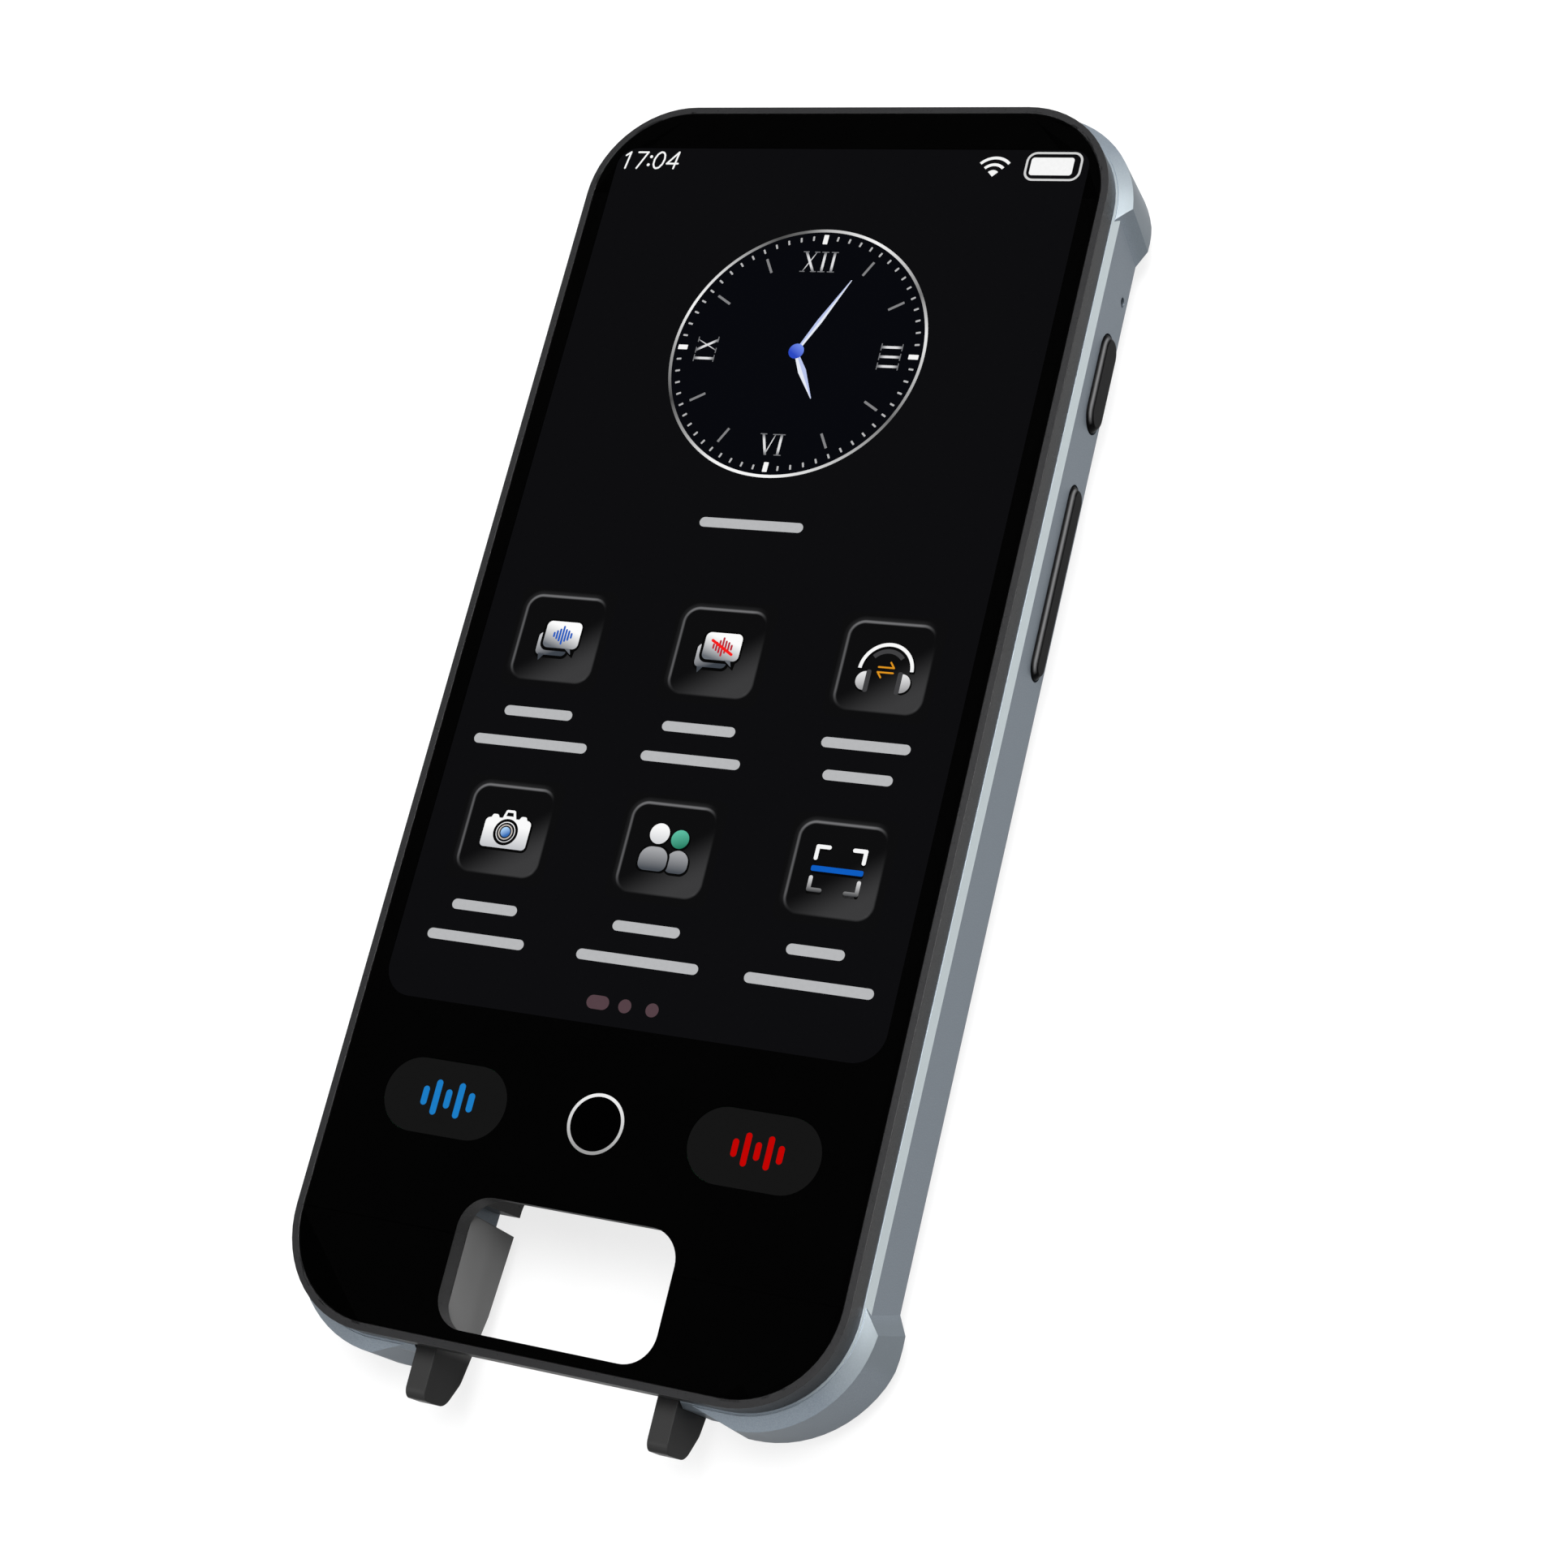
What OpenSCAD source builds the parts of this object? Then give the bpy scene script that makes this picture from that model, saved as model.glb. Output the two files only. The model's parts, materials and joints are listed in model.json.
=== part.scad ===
// Handheld translator with a reading window between two press-to-scan feet.
// X runs across the screen, Y up the screen and Z out of the glass.
// The origin is the middle of the overall length and width, level with the face of the
// raised grille panel that the unit lies on. The modules draw each piece about the middle of
// the glass, and from_middle() moves it to the origin.

/* [Glass] */
// Width of the cover glass
glass_w = 54.9; // [54:0.1:56.5]
// Length of the cover glass
glass_l = 125.2; // [124.6:0.1:127]
// Thickness of the cover glass
glass_t = 0.9; // [0.7:0.05:1.2]
// Corner radius of the cover glass
glass_r = 9.5; // [9.2:0.1:10]
// Polished bevel round the front edge of the glass
glass_bevel = 0.4; // [0.2:0.05:0.5]
// Thickness of the black print behind the glass
mask_t = 0.1; // [0.05:0.01:0.15]
// Thickness of the tape under the print
tape_t = 0.2; // [0.1:0.05:0.3]

/* [Screen] */
// Bare border on each side of the lit screen
screen_side = 1.95; // [1.8:0.05:2.4]
// Bare border between the top of the glass and the lit screen
screen_top = 4.2; // [4:0.1:4.6]
// Corner radius at the top of the lit screen
screen_top_r = 2; // [1.5:0.1:3]
// Corner radius at the bottom of the lit screen
screen_bottom_r = 3; // [1.5:0.1:3.5]
// Dark edge of the screen panel round the lit area
panel_edge = 0.5; // [0.3:0.1:0.6]
// Extra dark edge at the two ends of the screen panel
panel_end = 0.8; // [0.6:0.1:0.9]
// Corner radius of the screen panel
panel_r = 4; // [3.5:0.1:4.5]
// Thickness of the screen panel
panel_t = 0.75; // [0.6:0.05:0.8]
// Air gap between the screen panel and the glass
panel_gap = 0.15; // [0.12:0.01:0.2]

/* [Touch keys] */
// Length of the two lit touch pads
pad_l = 12.8; // [11:0.1:13]
// Width of the two lit touch pads
pad_w = 6.9; // [6:0.1:7.2]
// Distance of the middle of each touch pad from the side of the glass
pad_side = 11.75; // [11.5:0.05:12.5]
// Radius of the middle touch key
home_r = 2.8; // [2.4:0.1:3.2]
// Distance from the lit screen down to the row of touch keys
pad_drop = 8.9; // [8.7:0.1:9.2]
// Distance from the reading window up to the row of touch keys
pad_rise = 8.1; // [7.8:0.1:8.4]
// Thickness of the touch key board
pad_board_t = 0.8; // [0.6:0.1:1]

/* [Window] */
// Width of the reading window
window_w = 22; // [20:0.1:22.4]
// Length of the reading window
window_l = 12; // [11:0.1:12.4]
// Corner radius of the reading window
window_r = 3; // [2.5:0.1:3.5]
// Glass left below the reading window
window_edge = 1.3; // [1.2:0.1:1.6]
// Distance that the tunnel behind the window reaches above it
tunnel_rise = 3.7; // [3.5:0.1:4]
// Wall thickness of the black tunnel liner
liner_t = 2.1; // [1.8:0.1:2.2]

/* [Frame] */
// Distance that the dark frame stands out past the glass
frame_step = 0.5; // [0.35:0.05:0.6]
// Height of the dark frame
frame_h = 2.5; // [2.4:0.1:3]
// Thickness of the plate that carries the screen
frame_web = 0.7; // [0.6:0.05:0.75]

/* [Case] */
// Distance that the case wall stands out past the frame
case_step = 0.5; // [0.4:0.1:0.8]
// Height of the case from its flat back to its rim
case_h = 9.2; // [9.2:0.1:10]
// Thickness of the case wall
wall = 2; // [1.8:0.1:2.1]
// Thickness of the case back
back_t = 1.6; // [1.5:0.1:1.8]
// Thickness of the raised floor beside the tunnel
pod_t = 3; // [2.9:0.1:3.2]
// Width of the curved border of the back
crown_run = 7.5; // [6.5:0.1:8]
// Radius of the curved border of the back
crown_r = 16.5; // [15:0.5:20]
// Height of the bevel under the rim
rim_drop = 0.9; // [0.6:0.05:1.1]
// Distance above the lower end at which the back begins to slope
slope_run = 25.6; // [24:0.1:26]
// Radius of the sloping lower back
slope_r = 176; // [170:1:190]

/* [Corner bumpers] */
// Distance that the bumpers stand out past the case wall
bumper_out = 0.9; // [0.6:0.1:1.4]
// Height of the bevel on the front of the bumpers
bumper_drop = 1.3; // [1.1:0.1:1.8]
// Height of the upright side above the back on the bumpers
bumper_rise = 1.1; // [0.9:0.1:1.4]
// Length of the slanted end of a bumper on the long sides
bumper_ramp = 1.7; // [1.2:0.1:2.5]
// Length of the slanted end of a bumper on the short sides
bumper_end_ramp = 3; // [2:0.1:3.5]
// Lean of the bumper ends towards the middle, in mm for each mm of depth
bumper_lean = 0.2; // [0:0.05:0.3]
// Where the bumpers end on the long sides, from the end of the case
bumper_side = 12.1; // [11.6:0.1:13]
// Where the upper bumpers end, from the middle of the case
bumper_top_x = 15.5; // [14.8:0.1:16]
// Where the lower bumpers end, from the middle of the case
bumper_foot_x = 14.2; // [13.8:0.1:14.8]

/* [Grille] */
// Height of the raised platform on the back
platform_h = 1.2; // [1.2:0.05:1.4]
// Width of the platform at its base
platform_w = 42.7; // [42.4:0.1:43.2]
// Length of the platform at its base
platform_l = 24.1; // [23.9:0.1:24.6]
// Corner radius of the platform at its base
platform_r = 5.3; // [5:0.1:5.6]
// Slope of the platform sides, measured along the back
platform_bevel = 0.85; // [0.5:0.05:1]
// Distance from the top of the case to the platform
platform_top = 11.8; // [11.4:0.1:12]
// Width of the rim round the grille panel
platform_rim = 0.55; // [0.4:0.05:0.65]
// Distance between the holes of the grille
hole_pitch = 1.9; // [1.8:0.05:1.95]
// Diameter of the holes of the grille
hole_d = 0.9; // [0.6:0.05:1]
// Depth of the blind holes of the grille
dimple_t = 0.5; // [0.3:0.05:0.7]

/* [Camera] */
// Distance of the camera from the side of the grille panel's seat
camera_side = 7.25; // [7.15:0.05:7.45]
// Distance of the camera from the top of the grille panel's seat
camera_top = 7.5; // [7.35:0.05:7.85]
// Side of the square camera cover
cover_w = 12; // [11.5:0.1:12.1]
// Corner radius of the camera cover
cover_r = 2.8; // [2:0.1:3.2]
// Outer diameter of the ring round the lens
ring_d = 8.7; // [8.4:0.1:9]
// Inner diameter of the ring round the lens
ring_hole = 7.1; // [6.9:0.1:7.4]
// Height of the ring round the lens
ring_t = 0.5; // [0.4:0.05:0.55]
// Diameter of the lens
lens_d = 4.7; // [4.4:0.1:5]

/* [Sockets] */
// Height of both sockets above the grille face
port_z = 7.4; // [7.3:0.05:7.5]
// Distance of the headphone socket from the middle
jack_x = 11.5; // [11:0.1:11.8]
// Diameter of the hole for the headphone plug in the case
jack_hole = 4.2; // [4:0.1:4.6]
// Diameter of the headphone socket's bore
jack_d = 3.6; // [3.55:0.01:3.65]
// Length of the headphone socket
jack_l = 13; // [12:0.1:13.4]
// Width of the charging socket's shell
usb_w = 8.94; // [8.9:0.01:9]
// Height of the charging socket's shell
usb_h = 3.16; // [3.1:0.01:3.2]
// Length of the charging socket's shell
usb_l = 7.3; // [6.8:0.1:7.6]

/* [Side keys] */
// Height of the side keys above the grille face
key_z = 5.35; // [5.3:0.05:5.6]
// Distance that the side keys stand out of the wall
key_out = 0.5; // [0.4:0.05:0.8]
// Distance from the top end of the case to the power key
power_top = 26; // [25.2:0.1:26.8]
// Length of the power key
power_l = 10; // [9:0.1:11]
// Width of the power key
power_w = 3.7; // [3:0.1:3.8]
// Travel of the power key
power_travel = 0.35; // [0.2:0.05:0.35]
// Distance from the top end of the case to the volume rocker
volume_top = 46.6; // [45.8:0.1:47]
// Length of the volume rocker
volume_l = 19.5; // [17:0.1:19.7]
// Width of the volume rocker
volume_w = 2.8; // [2:0.1:3]
// Tilt of the volume rocker each way, in degrees
volume_tilt = 1.3; // [0.8:0.1:1.3]
// Distance from the top end of the case to the microphone hole
mic_top = 16.7; // [16.4:0.1:17.2]
// Height of the microphone hole above the grille face
mic_z = 4.3; // [4.25:0.05:4.6]
// Diameter of the microphone hole
mic_d = 1; // [0.6:0.1:1.2]

/* [Scan feet] */
// Thickness of each foot
foot_t = 2; // [1.7:0.1:2]
// Distance that the feet stand out past the lower end of the case
foot_reach = 4.1; // [3.5:0.1:5]
// Travel of the feet when they are pressed
foot_travel = 0.8; // [0.5:0.1:0.8]
// Length of the foot's tongue in its guide
tongue_l = 5; // [4:0.5:5]
// Height of the foot's tongue
tongue_h = 1.8; // [1.5:0.1:1.8]
// Thickness of the yoke that joins the feet
yoke_t = 1.3; // [1.1:0.1:1.3]
// Width of the yoke's arms
yoke_w = 3; // [2.6:0.1:3]
// Outer diameter of the return springs
spring_d = 2.3; // [1.9:0.1:2.4]
// Wire diameter of the return springs
spring_wire = 0.36; // [0.3:0.02:0.4]
// Turns of each return spring
spring_turns = 4; // [3:1:5]

/* [Battery and boards] */
// Length of the battery
battery_l = 46; // [42:0.5:47]
// Thickness of the battery
battery_t = 5.1; // [4.5:0.1:5.2]
// Thickness of the main board and the scan board
board_t = 0.8; // [0.6:0.1:0.8]
// Outer diameter of the screw bosses
boss_d = 3.4; // [3:0.1:3.4]
// Diameter of the screw shanks
screw_d = 1.4; // [1.2:0.1:1.6]
// Diameter of the screw heads
head_d = 2.6; // [2.3:0.1:2.6]
// Height of the screw heads
head_t = 0.35; // [0.3:0.05:0.35]

/* [Clearances] */
// Gap round a part that is glued or laid into its seat
seat_gap = 0.1; // [0.05:0.01:0.12]
// Gap round the grille panel and the camera cover
panel_line = 0.2; // [0.1:0.05:0.2]
// Gap round a side key in its slot
key_gap = 0.15; // [0.12:0.01:0.2]
// Gap beside and in front of the sliding feet
slide_gap = 0.2; // [0.15:0.01:0.2]
// Gap left between two parts at the end of a travel
stop_gap = 0.3; // [0.2:0.05:0.3]

/* [Hidden] */
$fn = 48;
cut = 1;

rim_land = 0.05;
fit_gap = 0.02;
print_edge = 0.3;
tape_gap = 0.3;
bumper_fade = 0.55;
crown_rise = crown_r - sqrt(crown_r * crown_r - crown_run * crown_run);

// Outlines: every shell of the housing shares the corner centres of the glass.
corner_x = glass_w / 2 - glass_r;
corner_y = glass_l / 2 - glass_r;
frame_r = glass_r + frame_step;
case_r = frame_r + case_step;
rim_r = frame_r + rim_land;
cavity_r = case_r - wall;
bumper_r = case_r + bumper_out;
case_x = corner_x + case_r;
case_y = corner_y + case_r;
cavity_x = corner_x + cavity_r;
cavity_y = corner_y + cavity_r;

// Heights, from the grille face up to the glass.
z_back = platform_h;
z_floor = z_back + back_t;
z_pod = z_back + pod_t;
z_rib = z_floor - 0.3;
z_rim = z_back + case_h;
z_web = z_rim + frame_web;
z_glass = z_rim + frame_h;
z_front = z_glass + glass_t;
z_mask = z_glass - mask_t;
z_tape = z_mask - tape_t;
z_panel = z_glass - panel_gap;
z_board = port_z + usb_h / 2;

// Places along the length: the glass, its window, the touch keys, the screen and the side keys.
window_y0 = -glass_l / 2 + window_edge;
window_y1 = window_y0 + window_l;
window_y = (window_y0 + window_y1) / 2;
pad_x = glass_w / 2 - pad_side;
pad_y = window_y1 + pad_rise;
screen_w = glass_w - 2 * screen_side;
screen_y1 = glass_l / 2 - screen_top;
screen_y0 = pad_y + pad_drop;
panel_y1 = screen_y1 + panel_end;
panel_y0 = screen_y0 - 2 * panel_end;
panel_x = screen_w / 2 + panel_edge;
power_y = case_y - power_top;
volume_y = case_y - volume_top;
mic_y = case_y - mic_top;

// Tunnel behind the window, its liner and the notch in the case.
tunnel_gap = 0.2;
tunnel_x = window_w / 2 + tunnel_gap;
tunnel_y = window_y1 + tunnel_rise;
liner_x = tunnel_x + liner_t;
liner_y = tunnel_y + liner_t;
liner_r = window_r + liner_t;
notch_x = liner_x + seat_gap;
notch_y = liner_y + seat_gap;
notch_r = liner_r + seat_gap;
notch_wall = 1.5;
slope_y = -case_y + slope_run;

// Feet: the ends of the liner's arms lean away from the ends of the feet.
foot_tip = -case_y - foot_reach;
arm_lap = 0.3;
arm_lean = 0.5;
foot_lean = 0.3;
tongue_drop = 6.3;
yoke_bar = 2.3;
spring_l = 4.2;
arm_front_y = window_y1 - arm_lap;
arm_back_y = arm_front_y + arm_lean;
foot_front_y = arm_front_y - foot_travel - stop_gap;
foot_back_y = foot_front_y - foot_lean;
foot_front_z = z_rim - slide_gap / 2;
foot_nose_r = 1;
foot_heel_r = 2;
foot_sole_r = 1.6;
foot_heel_h = 4.2;
tongue_y = foot_front_y - tongue_drop;
tongue_z = z_pod + slide_gap + yoke_t;
yoke_x = notch_x + notch_wall + stop_gap;
yoke_y1 = notch_y + notch_wall + stop_gap + yoke_bar;
yoke_y0 = tongue_y - tongue_l / 2;
yoke_screw_x = yoke_x + yoke_w / 2;
yoke_finger = [2, 1.2];
spring_rib_w = 3.6;
spring_rib_t = 0.8;
spring_rib_y = yoke_y1 + spring_l;
spring_z = tongue_z - yoke_t / 2;
guide_rib = [0.8, 6];

// Grille platform, camera and speaker.
platform_y = case_y - platform_top - platform_l / 2;
pocket_w = platform_w - 2 * (platform_bevel + platform_rim);
pocket_l = platform_l - 2 * (platform_bevel + platform_rim);
pocket_r = platform_r - platform_bevel - platform_rim;
hole_edge = hole_d / 2 + panel_line + 0.8;
hole_shift = -0.2;
holes_x = floor((pocket_w / 2 - hole_edge) / hole_pitch + 0.5);
holes_y = floor((pocket_l - 2 * hole_edge) / hole_pitch + 1);
camera_x = pocket_w / 2 - camera_side;
lens_y = platform_y + pocket_l / 2 - camera_top;
camera_w = 8.6;
camera_t = 3.5;
speaker_end = 2.35;
speaker_gap = 2.2;
speaker_w = pocket_w / 2 - speaker_end + camera_x - camera_w / 2 - speaker_gap;
speaker_l = 12.3;
speaker_t = 3.6;
speaker_r = 1.8;
speaker_edge = 0.7;
speaker_x = (speaker_w - pocket_w) / 2 + speaker_end;
speaker_top = 2.8;
speaker_y = platform_y + (pocket_l - speaker_l) / 2 - speaker_top;
dome = [speaker_w - 5.8, 8, 0.5];
mesh_t = 0.2;
gasket_t = 0.3;
barrel_d = 6.2;
camera_pad_w = 6;
lens_t = 0.75;
lens_seat = 0.45;
lens_crown_r = 6;

// Battery, boards, bosses and screws.
boss_in = 1.6;
battery_gap = 0.2;
battery_r = 1.2;
battery_w = 2 * (cavity_x - boss_in - boss_d / 2 - battery_gap);
battery_y0 = spring_rib_y + spring_rib_t + stop_gap;
battery_y1 = battery_y0 + battery_l;
battery_tape_t = 0.2;
board_y0 = battery_y1 + 2;
board_x = cavity_x - 2.3;
strip_t = 0.6;
key_bevel = 0.5;
key_lip = 0.7;
key_root = 0.45;
volume_rib_r = 0.35;
rock_gap = 0.11;
volume_face = cavity_x - (volume_l / 2 + key_lip) * sin(volume_tilt) - rock_gap;
switch_body = [3.4, 2.8, 0.3];
switch_dome_d = 1.6;
switch_dome_t = 0.1;
switch_gap = 0.18;
strip_x = cavity_x - fit_gap - key_root - power_travel - switch_gap - switch_body[2] - switch_dome_t;
strip_y0 = volume_y - volume_l / 2 - 1.1;
strip_y1 = mic_y + 2.7;
strip_top = 2.2;
prop = [0.9, 1.2, 5.5];
frame_bosses = [for (side = [-1, 1]) each [[side * (cavity_x - boss_in), strip_y0 - 8.4],
    [side * (cavity_x - boss_in), battery_y0 + 3], [side * (jack_x + 6.5), cavity_y - 1.2],
    [side * (cavity_x - 3.5), 5.2 - cavity_y]]];
board_bosses = [for (side = [-1, 1]) each [[side * (cavity_x - 5), board_y0 + 3],
    [side * (cavity_x - 5), cavity_y - 9.6]]];
scan_board_w = 26.8;
scan_bosses = [for (side = [-1, 1]) [side * (scan_board_w / 2 - 2.4), spring_rib_y - 1.1]];
scan_board_y0 = notch_y + notch_wall + seat_gap;
scan_board_y1 = scan_bosses[0][1] + 1;
scan_barrel_d = 3.2;
scan_body = [7.2, 4, 3];
scan_z = z_board - scan_body[2] / 2;
frame_screw_l = 5;
board_screw_l = 3.6;
screw_gap = 0.2;
pad_board_w = 2 * pad_x + pad_l + 2.8;
pad_board_l = pad_w + 3.7;
pad_board_z = z_tape - 0.6 - pad_board_t;
flex_w = 9;
flex_t = 0.15;
flex_y = panel_y0 - 1.15;
flex_slot = 1.6;
flex_lap = 2;
jack_w = 6.2;
jack_h = 5;
jack_floor = 0.8;
jack_pin = [1.1, 6, 0.6];
usb_wall = 0.3;
usb_floor = 1.1;
usb_tongue = [6.7, 0.7, 4.9];
usb_lap = 1.3;
mic_body = [1.1, 3.6, 2.8];
scan_switch_body = [3.2, 2, 2.2];
scan_switch_x = -7.6;
scan_plunger = [1.3, 0.6];
switch_y = yoke_y1 + foot_travel + 0.1;
can = [23, 14, 1.7];
can_t = 0.2;
chip = [7, 7, 0.9];
chip_gap = 0.5;
memory = [5, 3, 0.7];
motor_d = 3.4;
motor_l = 9;
antenna = [0.15, 38, 4.6];

// Flat shapes.
module pill(length, width) {
    square([length - width, width], center = true);
    for (side = [-1, 1]) translate([side * (length - width) / 2, 0]) circle(d = width);
}

module rounded(width, length, radius) {
    square([width - 2 * radius, length], center = true);
    square([width, length - 2 * radius], center = true);
    for (x = [-1, 1], y = [-1, 1])
        translate([x * (width / 2 - radius), y * (length / 2 - radius)]) circle(radius);
}

// Moves a piece from the middle of the glass to the middle of the overall length.
module from_middle() translate([0, -(case_y + bumper_out + foot_tip) / 2, 0]) children();

// A rounded rectangle between two heights along Y, with its own radius at each end.
module span(half_w, y0, y1, r0, r1) {
    translate([-half_w, y0 + r0]) square([2 * half_w, y1 - y0 - r0 - r1]);
    translate([r0 - half_w, y0]) square([2 * (half_w - r0), r0 * 1.5]);
    translate([r1 - half_w, y1 - r1 * 1.5]) square([2 * (half_w - r1), r1 * 1.5]);
    for (side = [-1, 1]) {
        translate([side * (half_w - r0), y0 + r0]) circle(r0);
        translate([side * (half_w - r1), y1 - r1]) circle(r1);
    }
}

// A convex outline with each corner rounded to its own radius.
function unit(v) = v / norm(v);
function corner(points, i) = let (n = len(points), p = points[i],
    a = unit(points[(i + n - 1) % n] - p), b = unit(points[(i + 1) % n] - p),
    half = acos(a * b) / 2) [p, a, b, half];
module rounded_outline(points, radii) {
    corners = [for (i = [0 : len(points) - 1]) corner(points, i)];
    polygon([for (i = [0 : len(points) - 1]) let (c = corners[i], run = radii[i] / tan(c[3]))
        each (radii[i] > 0 ? [c[0] + run * c[1], c[0] + run * c[2]] : [c[0]])]);
    for (i = [0 : len(points) - 1]) if (radii[i] > 0)
        translate(corners[i][0] + unit(corners[i][1] + corners[i][2]) * radii[i] / sin(corners[i][3]))
            circle(radii[i]);
}

// Solid shapes.
module plate(radius, z0, z1) {
    translate([0, 0, z0]) linear_extrude(z1 - z0)
        rounded(2 * (corner_x + radius), 2 * (corner_y + radius), radius);
}

// A block whose edge section, drawn outwards from the corner centres, runs all the way round.
module rimmed_block(cx, cy, z0, z1) {
    translate([-cx, -cy, z0]) cube([2 * cx, 2 * cy, z1 - z0]);
    for (side = [0, 1]) mirror([side, 0, 0])
        translate([cx, cy, 0]) rotate([90, 0, 0]) linear_extrude(2 * cy) children();
    for (side = [0, 1]) mirror([0, side, 0]) rotate([0, 0, 90])
        translate([cy, cx, 0]) rotate([90, 0, 0]) linear_extrude(2 * cx) children();
    for (x = [0, 1], y = [0, 1]) mirror([x, 0, 0]) mirror([0, y, 0])
        translate([cx, cy, 0]) rotate_extrude(angle = 90) children();
}

// A key with round ends and a bevelled face, standing up along Z from its root.
module key_body(length, width, height, bevel) {
    middle = length - width;
    module section() polygon([[0, 0], [width / 2, 0], [width / 2, height - bevel],
        [width / 2 - bevel, height], [0, height]]);
    for (side = [-1, 1]) translate([side * middle / 2, 0, 0]) rotate_extrude() section();
    for (side = [0, 1]) mirror([0, side, 0])
        translate([-middle / 2, 0, 0]) rotate([90, 0, 90]) linear_extrude(middle) section();
}

// Places a shape drawn along Z so that it points out of the right side or the top end.
module on_side(y, z, x = 0) translate([x, y, z]) rotate([90, 0, 90]) children();
module on_end(x, z, y = 0) translate([x, y, z]) rotate([-90, 0, 0]) children();

module screw(x, y, head_z, length) {
    translate([x, y, head_z]) cylinder(d = head_d, h = head_t);
    translate([x, y, head_z - length]) cylinder(d = screw_d, h = length + head_t / 2);
}

// The curved relief of the lower back, taken off the case, the liner and the feet alike.
module lower_relief(lift = 0) {
    difference() {
        translate([-case_x - cut, -case_y - 3 * cut, -cut])
            cube([2 * (case_x + cut), slope_run + 3 * cut, 8]);
        translate([0, slope_y, z_back + slope_r - 0.02 + lift]) rotate([0, 90, 0])
            cylinder(r = slope_r, h = 3 * case_x, center = true, $fn = 360);
    }
}

// Housing ---------------------------------------------------------------------------------

// Edge section of the case: crowned back, upright wall, bevel under the rim.
module case_section(out_r, drop, rise) {
    flat = case_r - crown_run;
    run = out_r - flat;
    arc_r = (run * run + rise * rise) / (2 * rise);
    intersection() {
        polygon([[0, z_back], [out_r, z_back], [out_r, z_rim - drop], [rim_r, z_rim], [0, z_rim]]);
        union() {
            translate([0, z_back]) square([flat, case_h]);
            translate([flat, z_back + arc_r]) circle(arc_r, $fn = 180);
        }
    }
}

// The space on one side of a plane through a point.
module beyond(point, normal) {
    n = normal / norm(normal);
    reach = 3 * case_y;
    translate(point) rotate([0, acos(n[2]), atan2(n[1], n[0])])
        translate([-reach, -reach, 0]) cube([2 * reach, 2 * reach, reach]);
}

// The space past a bumper's slanted end, which starts at x = end on a wall at y = face: one
// plane for the wall, one for the crown of the back, meeting at the lower edge of the wall.
module past_end(end, face, ramp) {
    start = [end, face, z_back + crown_rise];
    climb = [ramp, bumper_out, 0];
    inwards = [-crown_run * bumper_fade, -crown_run, -crown_rise];
    intersection() {
        beyond(start, cross(climb, [bumper_lean, 0, 1]));
        beyond(start, cross(inwards, climb));
    }
}

// One bumper, cut out of a wider case in its own quarter.
module bumper(end_x, x_side, y_side) {
    mirror([x_side, 0, 0]) mirror([0, y_side, 0]) intersection() {
        rimmed_block(corner_x, corner_y, z_back, z_rim)
            case_section(bumper_r, bumper_drop, bumper_rise);
        cube([case_x + 2 * bumper_out, case_y + 2 * bumper_out, case_h + cut]);
        past_end(end_x, case_y, bumper_end_ramp);
        mirror([1, -1, 0]) past_end(case_y - bumper_side, case_x, bumper_ramp);
    }
}

module platform() {
    half = [platform_w / 2 - platform_r, platform_l / 2 - platform_r];
    root = z_back + back_t / 2;
    translate([0, platform_y, 0]) rimmed_block(half[0], half[1], 0, root)
        polygon([[0, 0], [platform_r - platform_bevel, 0], [platform_r, platform_h],
            [platform_r, root], [0, root]]);
}

// Cavity of the case, with the pods beside the tunnel kept shallower.
module cavity() {
    difference() {
        plate(cavity_r, z_floor, z_rim + cut);
        translate([-case_x, -case_y, z_floor - cut])
            cube([2 * case_x, case_y + notch_y + notch_wall, pod_t - back_t + cut]);
    }
}

module notch_prism(grow, z0, z1) {
    translate([0, 0, z0]) linear_extrude(z1 - z0)
        span(notch_x + grow, -case_y - bumper_out - cut, notch_y + grow, 0.01, notch_r + grow);
}

module posts(places, radius, z0, z1) {
    for (p = places) translate([p[0], p[1], z0]) cylinder(r = radius, h = z1 - z0);
}

// Ribs of the case inside: notch wall, screw bosses, foot guides, spring stops, key board props.
module case_ribs() {
    intersection() {
        plate(cavity_r + wall / 2, z_rib, z_rim);
        union() {
            notch_prism(notch_wall, z_rib, z_rim);
            posts(frame_bosses, boss_d / 2, z_rib, z_rim);
            posts(board_bosses, boss_d / 2, z_rib, z_board);
            posts(scan_bosses, boss_d / 2, z_rib, z_board);
            for (side = [-1, 1]) {
                translate([side * (yoke_x + yoke_w + stop_gap + guide_rib[0] / 2) - guide_rib[0] / 2,
                    yoke_y0 + 3, z_rib])
                    cube([guide_rib[0], guide_rib[1], tongue_z - z_rib]);
                translate([side * yoke_screw_x - spring_rib_w / 2, spring_rib_y, z_rib])
                    cube([spring_rib_w, spring_rib_t, spring_z + spring_d / 2 - z_rib]);
            }
            for (y = [volume_y - 4.5, power_y - 7.6, power_y + 5])
                translate([strip_x - strip_t - prop[0], y, z_rib]) cube(prop);
        }
    }
}

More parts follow.
